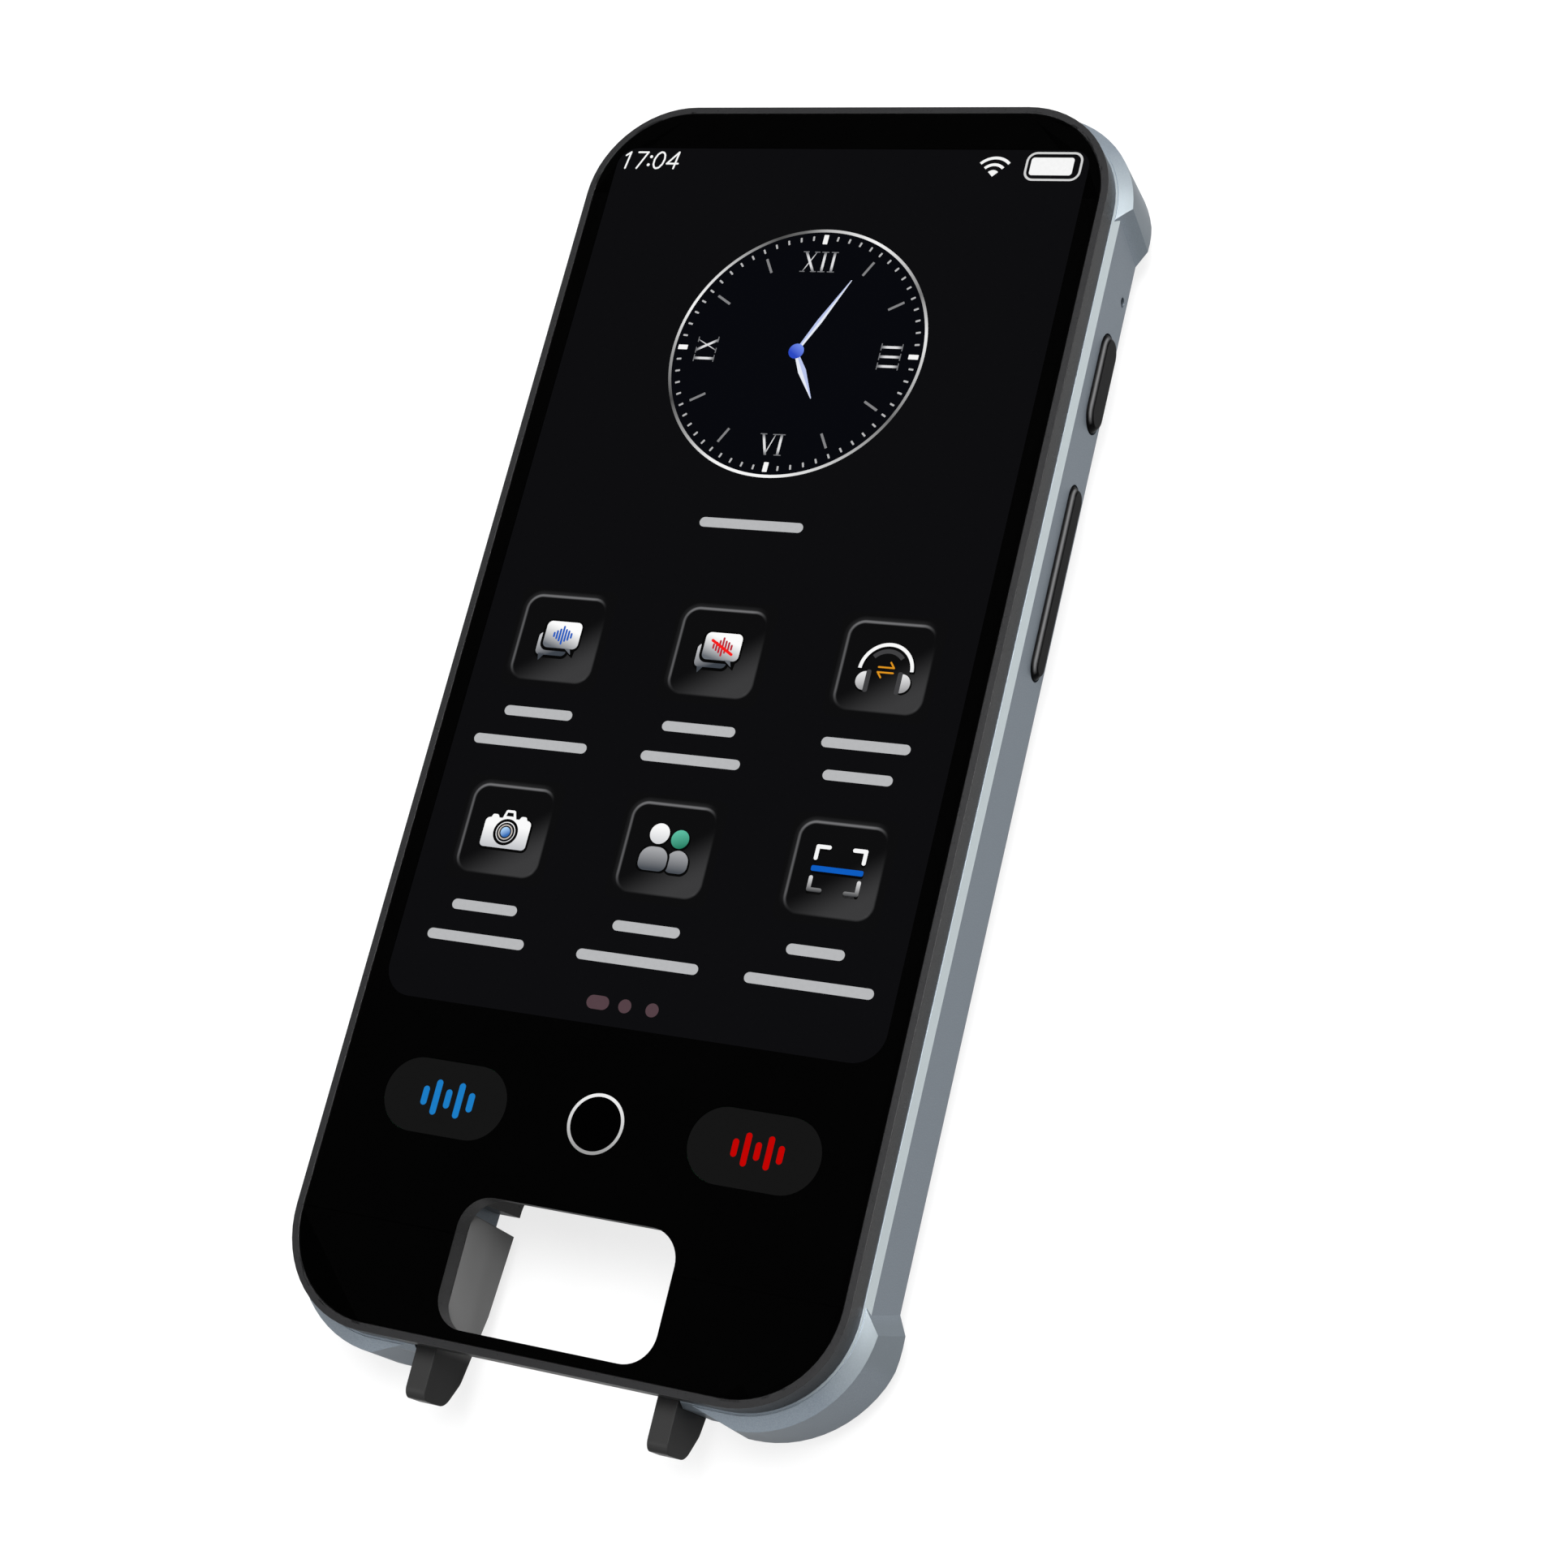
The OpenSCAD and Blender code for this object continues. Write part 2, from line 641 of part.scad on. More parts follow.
module back_shell() color([0.55, 0.58, 0.6]) from_middle() difference() {
    union() {
        difference() {
            union() {
                rimmed_block(corner_x, corner_y, z_back, z_rim)
                    case_section(case_r, rim_drop, crown_rise);
                for (side = [0, 1]) {
                    bumper(bumper_top_x, side, 0);
                    bumper(bumper_foot_x, side, 1);
                }
                platform();
            }
            cavity();
            lower_relief();
        }
        difference() {
            case_ribs();
            lower_relief();
        }
    }
    notch_prism(0, -cut, z_rim + cut);
    // Seat of the grille panel, sound opening and camera hole.
    translate([0, platform_y, -cut]) linear_extrude(platform_h + cut)
        rounded(pocket_w, pocket_l, pocket_r);
    translate([speaker_x, speaker_y, -cut]) linear_extrude(z_floor + 2 * cut)
        rounded(speaker_w - 2 * speaker_edge, speaker_l - 2 * speaker_edge, 1.5);
    translate([camera_x, lens_y, -cut]) cylinder(d = barrel_d + 2 * panel_line, h = z_floor + 2 * cut);
    // Sockets in the top end, keys and microphone in the right side.
    on_end(jack_x, port_z, cavity_y - cut / 2) cylinder(d = jack_hole, h = wall + cut);
    on_end(0, port_z, cavity_y - cut / 2) linear_extrude(wall + cut)
        pill(usb_w + 2 * panel_line, usb_h + seat_gap);
    on_side(power_y, key_z, cavity_x - cut / 2) linear_extrude(wall + cut)
        pill(power_l + 2 * key_gap, power_w + 2 * key_gap);
    on_side(volume_y, key_z, cavity_x - cut / 2) linear_extrude(wall + cut)
        pill(volume_l + 2 * key_gap, volume_w + 2 * key_gap);
    on_side(mic_y, mic_z, cavity_x - cut / 2) cylinder(d = mic_d, h = wall + cut);
    // Slots for the tongues of the feet, and the scan camera's way through the notch wall.
    for (side = [-1, 1]) translate([side * (notch_x + notch_wall / 2) - notch_wall / 2 - cut / 4,
        tongue_y - tongue_l / 2 - slide_gap, tongue_z - slide_gap])
        cube([notch_wall + cut / 2, tongue_l + foot_travel + 2 * slide_gap, tongue_h + 2 * slide_gap]);
    on_end(0, scan_z, notch_y - cut / 2) cylinder(d = scan_barrel_d + 2 * slide_gap, h = notch_wall + cut);
    posts(frame_bosses, screw_d / 2, z_rim - frame_screw_l, z_rim + cut);
    posts(concat(board_bosses, scan_bosses), screw_d / 2, z_board - board_screw_l, z_board + cut);
}

module mid_frame() color([0.17, 0.17, 0.18]) from_middle() difference() {
    plate(frame_r, z_rim, z_glass);
    // Seats of the print and tape, the screen, the touch key board and the screen's flex.
    plate(glass_r - print_edge + seat_gap, z_tape, z_glass + cut);
    translate([0, 0, z_web]) linear_extrude(frame_h)
        span(panel_x + seat_gap, panel_y0 - seat_gap, panel_y1 + seat_gap, 1, panel_r + seat_gap);
    translate([0, pad_y, pad_board_z - seat_gap]) linear_extrude(frame_h)
        rounded(pad_board_w + 2 * seat_gap, pad_board_l + 2 * seat_gap, 1);
    translate([-flex_w / 2 - 0.5, flex_y - 0.25, z_rim - cut])
        cube([flex_w + 1, flex_slot, frame_h + 2 * cut]);
    // Window well and screw holes.
    translate([0, window_y, z_rim - cut]) linear_extrude(frame_h + 2 * cut)
        rounded(window_w + 2 * tunnel_gap, window_l + 2 * tunnel_gap, window_r + tunnel_gap);
    posts(frame_bosses, head_d / 2 + seat_gap, z_rim + frame_web / 2, z_glass + cut);
    posts(frame_bosses, screw_d / 2, z_rim - cut, z_glass);
}

// Front --------------------------------------------------------------------------------------

module cover_glass() color([0.85, 0.9, 0.92]) from_middle()
    rimmed_block(corner_x, corner_y, z_glass, z_front)
    polygon([[0, z_glass], [glass_r, z_glass], [glass_r, z_front - glass_bevel],
        [glass_r - glass_bevel, z_front], [0, z_front]]);

module screen_opening(grow) span(screen_w / 2 + grow, screen_y0 - grow, screen_y1 + grow,
    screen_bottom_r + grow, screen_top_r + grow);

module print_outline() rounded(glass_w - 2 * print_edge, glass_l - 2 * print_edge, glass_r - print_edge);

module print_mask() color([0.01, 0.01, 0.01]) from_middle() translate([0, 0, z_mask])
    linear_extrude(mask_t) difference() {
        print_outline();
        screen_opening(0);
        translate([0, window_y]) rounded(window_w, window_l, window_r);
        for (side = [-1, 1]) translate([side * pad_x, pad_y]) pill(pad_l + seat_gap, pad_w + seat_gap);
        translate([0, pad_y]) circle(home_r + seat_gap / 2);
    }

module glass_tape() color([0.12, 0.12, 0.12]) from_middle() translate([0, 0, z_tape])
    linear_extrude(tape_t) difference() {
        print_outline();
        span(panel_x + tape_gap, flex_y - 0.5, panel_y1 + tape_gap, 1, panel_r + 1);
        translate([0, pad_y]) rounded(pad_board_w + tape_gap, pad_board_l + tape_gap, 1);
        translate([0, window_y])
            rounded(window_w + 2 * tape_gap, window_l + 2 * tape_gap, window_r + tape_gap);
    }

module display_panel() color([0.05, 0.05, 0.06]) from_middle() translate([0, 0, z_panel - panel_t])
    linear_extrude(panel_t) span(panel_x, panel_y0, panel_y1, 0.8, panel_r);

module backlight_unit() color([0.8, 0.8, 0.8]) from_middle() translate([0, 0, z_web])
    linear_extrude(z_panel - panel_t - z_web)
    span(panel_x - 0.2, panel_y0 + 0.4, panel_y1 - 0.2, 0.8, panel_r - 0.2);

module display_flex() color([0.75, 0.45, 0.15]) from_middle() {
    z_low = z_floor + battery_tape_t + battery_t + stop_gap;
    z_high = z_panel - panel_t;
    translate([-flex_w / 2, flex_y, z_high]) cube([flex_w, panel_y0 - flex_y, flex_t]);
    translate([-flex_w / 2, flex_y, z_low]) cube([flex_w, flex_t, z_high - z_low + flex_t]);
    translate([-flex_w / 2, flex_y, z_low]) cube([flex_w, board_y0 + flex_lap - flex_y, flex_t]);
    translate([-flex_w / 2, board_y0 + flex_lap / 2, z_low]) cube([flex_w, flex_lap, z_board - z_low]);
}

module touch_key_board() color([0.05, 0.3, 0.15]) from_middle() translate([0, pad_y, pad_board_z])
    linear_extrude(pad_board_t) rounded(pad_board_w, pad_board_l, 0.9);

module key_light(x) translate([x, pad_y, pad_board_z + pad_board_t])
    linear_extrude(z_glass - panel_gap / 3 - pad_board_z - pad_board_t) children();

module left_key_light() color([0.1, 0.1, 0.1]) from_middle() key_light(-pad_x) pill(pad_l, pad_w);
module right_key_light() color([0.1, 0.1, 0.1]) from_middle() key_light(pad_x) pill(pad_l, pad_w);
module home_key_light() color([0.1, 0.1, 0.1]) from_middle() key_light(0) circle(home_r);

// Back -----------------------------------------------------------------------------------------

module window_liner() color([0.03, 0.03, 0.03]) from_middle() difference() {
    translate([0, 0, z_back]) linear_extrude(case_h)
        span(liner_x, arm_front_y - 3, liner_y, 0.01, liner_r);
    translate([0, 0, z_back - cut]) linear_extrude(case_h + 2 * cut)
        span(tunnel_x, arm_front_y - 5, tunnel_y, 0.01, window_r);
    // The arm ends lean, so that the gap to the feet widens towards the back.
    translate([-liner_x - cut, 0, 0]) rotate([90, 0, 90]) linear_extrude(2 * (liner_x + cut))
        polygon([[arm_front_y, z_rim + cut], [arm_back_y, z_back - cut],
            [arm_back_y - liner_x, z_back - cut], [arm_back_y - liner_x, z_rim + cut]]);
    lower_relief(seat_gap);
    on_end(0, scan_z, tunnel_y - cut)
        cylinder(d1 = scan_barrel_d + slide_gap, d2 = scan_barrel_d - 1, h = liner_t + 2 * cut);
}

// Grille holes stand in a grid without its corners and clear of the camera cover. They go right
// through over the speaker opening and are blind elsewhere.
grille_holes = [for (i = [-holes_x : holes_x - 1], j = [0 : holes_y - 1])
    let (p = [(i + 0.5) * hole_pitch, platform_y + hole_shift + (j - (holes_y - 1) / 2) * hole_pitch],
        corner_hole = (i == -holes_x || i == holes_x - 1) && (j == 0 || j == holes_y - 1),
        cover_room = cover_w / 2 + 0.9 * hole_pitch,
        by_cover = abs(p[0] - camera_x) < cover_room && abs(p[1] - lens_y) < cover_room)
    if (!corner_hole && !by_cover) p];
function over_speaker(p) = abs(p[0] - speaker_x) < speaker_w / 2 - speaker_edge
    && abs(p[1] - speaker_y) < speaker_l / 2 - speaker_edge;

module grille_panel() color([0.52, 0.55, 0.57]) from_middle() difference() {
    translate([0, platform_y, 0]) linear_extrude(platform_h)
        rounded(pocket_w - 2 * panel_line, pocket_l - 2 * panel_line, pocket_r - panel_line);
    translate([camera_x, lens_y, -cut]) linear_extrude(platform_h + 2 * cut)
        rounded(cover_w + 2 * seat_gap, cover_w + 2 * seat_gap, cover_r + seat_gap);
    for (p = grille_holes) translate([p[0], p[1], -cut])
        cylinder(d = hole_d, h = cut + (over_speaker(p) ? platform_h + cut : dimple_t), $fn = 24);
}

module speaker_mouth() rounded(speaker_w - 2 * speaker_edge, speaker_l - 2 * speaker_edge, speaker_r - 0.3);

module speaker_mesh() color([0.06, 0.06, 0.06]) from_middle() translate([speaker_x, speaker_y, z_back])
    linear_extrude(mesh_t) rounded(speaker_w - 2 * speaker_edge - seat_gap,
        speaker_l - 2 * speaker_edge - seat_gap, speaker_r - 0.35);

module speaker_gasket() color([0.1, 0.1, 0.1]) from_middle() translate([speaker_x, speaker_y, z_floor])
    linear_extrude(gasket_t) difference() {
        rounded(speaker_w, speaker_l, speaker_r);
        speaker_mouth();
    }

module speaker_unit() color([0.15, 0.15, 0.16]) from_middle()
    translate([speaker_x, speaker_y, z_floor + gasket_t]) {
        difference() {
            linear_extrude(speaker_t) rounded(speaker_w, speaker_l, speaker_r);
            translate([0, 0, -cut]) linear_extrude(cut + 0.8) speaker_mouth();
        }
        // The diaphragm's dome in the mouth of the box.
        translate([0, 0, 0.4]) linear_extrude(dome[2]) pill(dome[0], dome[1]);
    }

module camera_cover() color([0.01, 0.01, 0.01]) from_middle() translate([camera_x, lens_y, 0])
    difference() {
        linear_extrude(platform_h) rounded(cover_w, cover_w, cover_r);
        translate([0, 0, -cut]) cylinder(d = ring_d + fit_gap, h = ring_t + cut);
        translate([0, 0, ring_t - fit_gap / 2])
            cylinder(d1 = ring_hole, d2 = lens_d + 2 * seat_gap, h = platform_h - ring_t + fit_gap);
    }

module camera_trim_ring() color([0.75, 0.76, 0.78]) from_middle() translate([camera_x, lens_y, 0])
    rotate_extrude() polygon([[ring_hole / 2 + 0.25, 0], [ring_d / 2 - 0.1, 0], [ring_d / 2, 0.1],
        [ring_d / 2, ring_t], [ring_hole / 2, ring_t]]);

module camera_lens() color([0.1, 0.1, 0.3]) from_middle()
    translate([camera_x, lens_y, platform_h - lens_seat]) intersection() {
        cylinder(d = lens_d, h = lens_t);
        translate([0, 0, lens_crown_r]) sphere(r = lens_crown_r, $fn = 96);
    }

module camera_module() color([0.08, 0.08, 0.09]) from_middle() translate([camera_x, lens_y, 0]) {
    translate([0, 0, platform_h - lens_seat + lens_t])
        cylinder(d = barrel_d, h = z_floor - platform_h + lens_seat - lens_t / 2);
    translate([0, 0, z_floor]) linear_extrude(camera_t) rounded(camera_w, camera_w, 0.6);
}

module camera_pad() color([0.2, 0.2, 0.2]) from_middle()
    translate([camera_x - camera_pad_w / 2, lens_y - camera_pad_w / 2, z_floor + camera_t])
    cube([camera_pad_w, camera_pad_w, z_board - z_floor - camera_t]);

// Boards and power ---------------------------------------------------------------------------

module main_board() color([0.05, 0.3, 0.15]) from_middle() {
    difference() {
        intersection() {
            plate(cavity_r - 0.4, z_board, z_board + board_t);
            translate([-board_x, board_y0, z_board]) cube([2 * board_x, case_y, board_t]);
        }
        translate([jack_x - jack_w / 2 - key_gap, cavity_y - jack_l - key_gap, z_board - cut])
            cube([jack_w + 2 * key_gap, jack_l + cut, board_t + 2 * cut]);
        posts(frame_bosses, boss_d / 2 + stop_gap, z_board - cut, z_board + board_t + cut);
        posts(board_bosses, screw_d / 2, z_board - cut, z_board + board_t + cut);
    }
    // Processor and memory beside the shield can.
    translate([camera_x + camera_pad_w / 2 + chip_gap, board_y0 + 5.5, z_board - chip[2]]) cube(chip);
    translate([memory[0] / 2 - board_x + 2.5, board_y0 + 20.4, z_board - memory[2]]) cube(memory);
}

module shield_can() color([0.7, 0.7, 0.72]) from_middle()
    translate([-board_x + 4.6, board_y0 + 4, z_board - can[2]]) difference() {
        cube(can);
        translate([can_t, can_t, can_t]) cube([can[0] - 2 * can_t, can[1] - 2 * can_t, can[2]]);
    }

module battery() color([0.25, 0.27, 0.3]) from_middle()
    translate([0, (battery_y0 + battery_y1) / 2, z_floor + battery_tape_t + battery_t / 2])
    rotate([0, 90, 0]) linear_extrude(battery_w, center = true)
    rounded(battery_t, battery_l, battery_r);

module battery_tape() color([0.85, 0.85, 0.8]) from_middle()
    translate([-battery_w / 3, battery_y0 + 4, z_floor])
    cube([battery_w * 2 / 3, battery_l - 8, battery_tape_t]);

module headphone_socket() color([0.05, 0.05, 0.05]) from_middle() {
    difference() {
        translate([jack_x - jack_w / 2, cavity_y - jack_l, port_z - jack_h / 2])
            cube([jack_w, jack_l, jack_h]);
        on_end(jack_x, port_z, cavity_y - jack_l + jack_floor) cylinder(d = jack_d, h = jack_l);
    }
    // Soldered feet on both sides.
    for (side = [-1, 1])
        translate([jack_x + side * (jack_w + jack_pin[0]) / 2 - jack_pin[0] / 2,
            cavity_y - jack_l + 3.4, z_board - jack_pin[2]]) cube(jack_pin);
}

module usb_socket() color([0.7, 0.7, 0.72]) from_middle()
    on_end(0, port_z, cavity_y + usb_lap - usb_l) {
        difference() {
            linear_extrude(usb_l) pill(usb_w, usb_h);
            translate([0, 0, usb_floor]) linear_extrude(usb_l)
                pill(usb_w - 2 * usb_wall, usb_h - 2 * usb_wall);
        }
        translate([-usb_tongue[0] / 2, -usb_tongue[1] / 2, usb_floor - seat_gap]) cube(usb_tongue);
    }

module side_microphone() color([0.75, 0.72, 0.6]) from_middle()
    translate([strip_x, mic_y - mic_body[1] / 2, mic_z - mic_body[2] / 2]) cube(mic_body);

module side_key_board() color([0.75, 0.45, 0.15]) from_middle()
    translate([strip_x - strip_t, strip_y0, z_floor])
    cube([strip_t, strip_y1 - strip_y0, key_z + strip_top - z_floor]);

// A tact switch on the key board: a square can with a round dome that faces the key.
module tact_switch(y) on_side(y, key_z, strip_x) {
    linear_extrude(switch_body[2]) square([switch_body[0], switch_body[1]], center = true);
    cylinder(d = switch_dome_d, h = switch_body[2] + switch_dome_t);
}

module power_switch() color([0.8, 0.8, 0.8]) from_middle() tact_switch(power_y);
module volume_switches() color([0.8, 0.8, 0.8]) from_middle()
    for (side = [-1, 1]) tact_switch(volume_y + side * volume_l / 3);

module vibration_motor() color([0.75, 0.75, 0.77]) from_middle()
    on_end(-cavity_x + motor_d / 2 + slide_gap * 2, z_pod + motor_d / 2, notch_y - motor_l + 0.9)
    cylinder(d = motor_d, h = motor_l);

module antenna_flex() color([0.75, 0.45, 0.15]) from_middle()
    translate([-cavity_x, frame_bosses[0][1] + 4, z_floor + 1.6]) cube(antenna);

// Scan gear -----------------------------------------------------------------------------------

module scan_board() color([0.05, 0.3, 0.15]) from_middle() difference() {
    translate([-scan_board_w / 2, scan_board_y0, z_board])
        cube([scan_board_w, scan_board_y1 - scan_board_y0, board_t]);
    posts(scan_bosses, screw_d / 2, z_board - cut, z_board + board_t + cut);
}

module scan_camera() color([0.06, 0.06, 0.07]) from_middle() {
    translate([-scan_body[0] / 2, scan_board_y0 + slide_gap, scan_z - scan_body[2] / 2]) cube(scan_body);
    on_end(0, scan_z, notch_y + stop_gap) difference() {
        cylinder(d = scan_barrel_d - 2 * slide_gap, h = notch_wall + seat_gap);
        translate([0, 0, -seat_gap]) cylinder(d1 = 1.9, d2 = 1.1, h = 0.7);
    }
}

module scan_switch() color([0.8, 0.8, 0.8]) from_middle() {
    translate([scan_switch_x - scan_switch_body[0] / 2, switch_y + scan_plunger[1],
        z_board - scan_switch_body[2]]) cube(scan_switch_body);
    on_end(scan_switch_x, z_board - scan_switch_body[2] / 2 - seat_gap, switch_y)
        cylinder(d = scan_plunger[0], h = scan_plunger[1] + seat_gap);
}

// One coil spring as a swept tube of round wire, from its seat on the yoke to its rib.
function coil_point(t) = let (r = (spring_d - spring_wire) / 2)
    [r * cos(360 * spring_turns * t), r * sin(360 * spring_turns * t),
     spring_wire / 2 + fit_gap + t * (spring_l - spring_wire - 2 * fit_gap)];
module coil() {
    sides = 6;
    rings = spring_turns * 12;
    wire_r = spring_wire / 2;
    points = [for (i = [0 : rings]) let (p = coil_point(i / rings), a = 360 * spring_turns * i / rings)
        for (j = [0 : sides - 1]) p + wire_r * (cos(360 * j / sides) * [cos(a), sin(a), 0]
            + sin(360 * j / sides) * [0, 0, 1])];
    walls = [for (i = [0 : rings - 1], j = [0 : sides - 1]) let (k = (j + 1) % sides)
        each [[i * sides + j, (i + 1) * sides + k, i * sides + k],
              [i * sides + j, (i + 1) * sides + j, (i + 1) * sides + k]]];
    polyhedron(points, concat(walls, [[for (j = [0 : sides - 1]) j]],
        [[for (j = [sides - 1 : -1 : 0]) rings * sides + j]]));
}

module foot_springs() color([0.8, 0.8, 0.82]) from_middle()
    for (side = [-1, 1]) on_end(side * yoke_screw_x, spring_z, yoke_y1) coil();

// Side view of a foot, drawn with Y along the case and Z up.
module foot_outline() rounded_outline(
    [[foot_back_y, z_back + 0.6], [foot_front_y, foot_front_z], [foot_tip, foot_front_z],
        [foot_tip, z_rim - foot_heel_h], [foot_tip + 2.4, z_back + 3.2], [foot_tip + 9, z_back + 1.4]],
    [0, 0, foot_nose_r, foot_heel_r, foot_sole_r, 0]);

module scan_foot(side) {
    difference() {
        translate([side > 0 ? tunnel_x : -tunnel_x - foot_t, 0, 0]) rotate([90, 0, 90])
            linear_extrude(foot_t) foot_outline();
        lower_relief(seat_gap);
    }
    translate([side > 0 ? tunnel_x + foot_t / 2 : -yoke_x - yoke_w, tongue_y - tongue_l / 2, tongue_z])
        difference() {
            cube([yoke_x + yoke_w - tunnel_x - foot_t / 2, tongue_l, tongue_h]);
            translate([side > 0 ? yoke_screw_x - tunnel_x - foot_t / 2 : yoke_w / 2, tongue_l / 2, -cut])
                cylinder(d = screw_d, h = tongue_h + 2 * cut);
        }
}

module left_scan_foot() color([0.1, 0.1, 0.1]) from_middle() scan_foot(-1);
module right_scan_foot() color([0.1, 0.1, 0.1]) from_middle() scan_foot(1);

module foot_yoke() color([0.6, 0.6, 0.62]) from_middle() {
    difference() {
        translate([-yoke_x - yoke_w, yoke_y0, tongue_z - yoke_t])
            cube([2 * (yoke_x + yoke_w), yoke_y1 - yoke_y0, yoke_t]);
        translate([-yoke_x, yoke_y0 - cut, tongue_z - yoke_t - cut])
            cube([2 * yoke_x, yoke_y1 - yoke_y0 + cut - yoke_bar, yoke_t + 2 * cut]);
        posts([for (side = [-1, 1]) [side * yoke_screw_x, tongue_y]], screw_d / 2,
            tongue_z - yoke_t - cut, tongue_z + cut);
    }
    // The finger that presses the scan switch.
    translate([scan_switch_x - yoke_finger[0] / 2, yoke_y1 - yoke_finger[1], tongue_z - seat_gap])
        cube([yoke_finger[0], yoke_finger[1], z_board - tongue_z - stop_gap]);
}

module yoke_screws() color([0.75, 0.75, 0.77]) from_middle() for (side = [-1, 1])
    screw(side * yoke_screw_x, tongue_y, tongue_z + tongue_h, tongue_h + yoke_t - screw_gap);

module frame_screws() color([0.75, 0.75, 0.77]) from_middle()
    for (p = frame_bosses) screw(p[0], p[1], z_rim + frame_web / 2, frame_screw_l - screw_gap);

module board_screws() color([0.75, 0.75, 0.77]) from_middle()
    for (p = concat(board_bosses, scan_bosses))
        screw(p[0], p[1], z_board + board_t, board_screw_l + board_t - screw_gap);

// Side keys -----------------------------------------------------------------------------------

module power_key() color([0.08, 0.08, 0.09]) from_middle() on_side(power_y, key_z, cavity_x - fit_gap) {
    key_body(power_l, power_w, wall + key_out + fit_gap, key_bevel);
    translate([0, 0, -key_root]) linear_extrude(key_root) pill(power_l + 2 * key_lip, power_w + 0.8);
}

module volume_rocker() color([0.08, 0.08, 0.09]) from_middle() on_side(volume_y, key_z, volume_face) {
    key_body(volume_l, volume_w, case_x + key_out - volume_face, key_bevel);
    translate([0, 0, -key_root]) linear_extrude(key_root)
        pill(volume_l + 2 * key_lip, volume_w + 1.2);
    // The rib that the rocker tilts on.
    translate([0, 0, -key_root]) rotate([90, 0, 0])
        cylinder(r = volume_rib_r, h = volume_w, center = true);
}

back_shell();
mid_frame();
cover_glass();
print_mask();
glass_tape();
display_panel();
backlight_unit();
display_flex();
touch_key_board();
left_key_light();
home_key_light();
right_key_light();
window_liner();
grille_panel();
speaker_mesh();
speaker_gasket();
speaker_unit();
camera_cover();
camera_trim_ring();
camera_lens();
camera_module();
camera_pad();
main_board();
shield_can();
battery();
battery_tape();
headphone_socket();
usb_socket();
side_microphone();
side_key_board();
power_switch();
volume_switches();
scan_board();
scan_camera();
scan_switch();
foot_springs();
vibration_motor();
antenna_flex();
frame_screws();
board_screws();
power_key();
volume_rocker();
left_scan_foot();
right_scan_foot();
foot_yoke();
yoke_screws();
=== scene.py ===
import json
import math

import bpy
from mathutils import Matrix, Vector


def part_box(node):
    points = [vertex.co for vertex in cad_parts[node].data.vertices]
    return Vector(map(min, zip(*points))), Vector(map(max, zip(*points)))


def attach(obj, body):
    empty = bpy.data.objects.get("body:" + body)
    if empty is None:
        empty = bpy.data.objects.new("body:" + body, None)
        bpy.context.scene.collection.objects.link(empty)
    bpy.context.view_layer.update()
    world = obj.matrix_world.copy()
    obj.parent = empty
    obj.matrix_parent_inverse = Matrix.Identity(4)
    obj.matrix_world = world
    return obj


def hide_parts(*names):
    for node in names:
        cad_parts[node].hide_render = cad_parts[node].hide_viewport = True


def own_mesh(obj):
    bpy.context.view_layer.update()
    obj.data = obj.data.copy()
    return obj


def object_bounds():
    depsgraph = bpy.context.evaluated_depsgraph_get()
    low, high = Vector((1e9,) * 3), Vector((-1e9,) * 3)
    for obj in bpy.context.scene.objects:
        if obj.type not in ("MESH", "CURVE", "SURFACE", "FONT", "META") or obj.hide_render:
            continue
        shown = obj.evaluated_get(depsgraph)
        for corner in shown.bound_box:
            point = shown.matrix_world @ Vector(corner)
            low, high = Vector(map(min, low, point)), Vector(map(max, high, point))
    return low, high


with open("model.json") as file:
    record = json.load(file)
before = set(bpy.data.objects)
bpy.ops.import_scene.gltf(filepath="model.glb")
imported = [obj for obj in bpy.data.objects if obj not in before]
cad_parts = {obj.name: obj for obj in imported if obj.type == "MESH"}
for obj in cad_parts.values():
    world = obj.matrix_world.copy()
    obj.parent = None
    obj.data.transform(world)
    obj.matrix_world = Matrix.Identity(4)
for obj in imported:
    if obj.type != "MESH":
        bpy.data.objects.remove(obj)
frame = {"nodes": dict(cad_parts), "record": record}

CAD_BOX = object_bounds()
MM = 0.001
NODES = frame["nodes"]
BODY = "housing"


def new_object(name, data):
    """An object with the given data, in the scene."""
    thing = bpy.data.objects.new(name, data)
    bpy.context.scene.collection.objects.link(thing)
    return thing


# The camera, at the photograph's viewing angle --------------------------------------------------

GLASS_LOW, GLASS_HIGH = (Vector(corner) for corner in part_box("cover_glass"))
GLASS_MIDDLE = (GLASS_LOW + GLASS_HIGH) / 2
# Across and along from the middle of the glass, and the height in the frame.
CAMERA_PLACE = Vector((0.11995, -0.08026, 0.23713))
CAMERA_RIGHT = Vector((0.90095, 0.23210, -0.36664))
CAMERA_UP = Vector((-0.09791, 0.93187, 0.34933))
CAMERA_LENS = 65.86
SENSOR_WIDTH = 36.0
CAMERA_NEAR = 0.01
CAMERA_FAR = 50.0


def make_camera():
    data = bpy.data.cameras.new("camera")
    data.lens = CAMERA_LENS
    data.sensor_width = SENSOR_WIDTH
    data.clip_start = CAMERA_NEAR
    data.clip_end = CAMERA_FAR
    camera = new_object("camera", data)
    back = CAMERA_RIGHT.cross(CAMERA_UP).normalized()
    turn = Matrix((CAMERA_RIGHT.normalized(), CAMERA_UP.normalized(), back)).transposed()
    camera.matrix_world = turn.to_4x4()
    camera.location = (GLASS_MIDDLE.x + CAMERA_PLACE.x, GLASS_MIDDLE.y + CAMERA_PLACE.y,
                       CAMERA_PLACE.z)
    bpy.context.scene.camera = camera


# Node trees ---------------------------------------------------------------------------------------

WHITE_LIGHT = (1, 1, 1, 1)
NO_LIGHT = (0, 0, 0, 1)


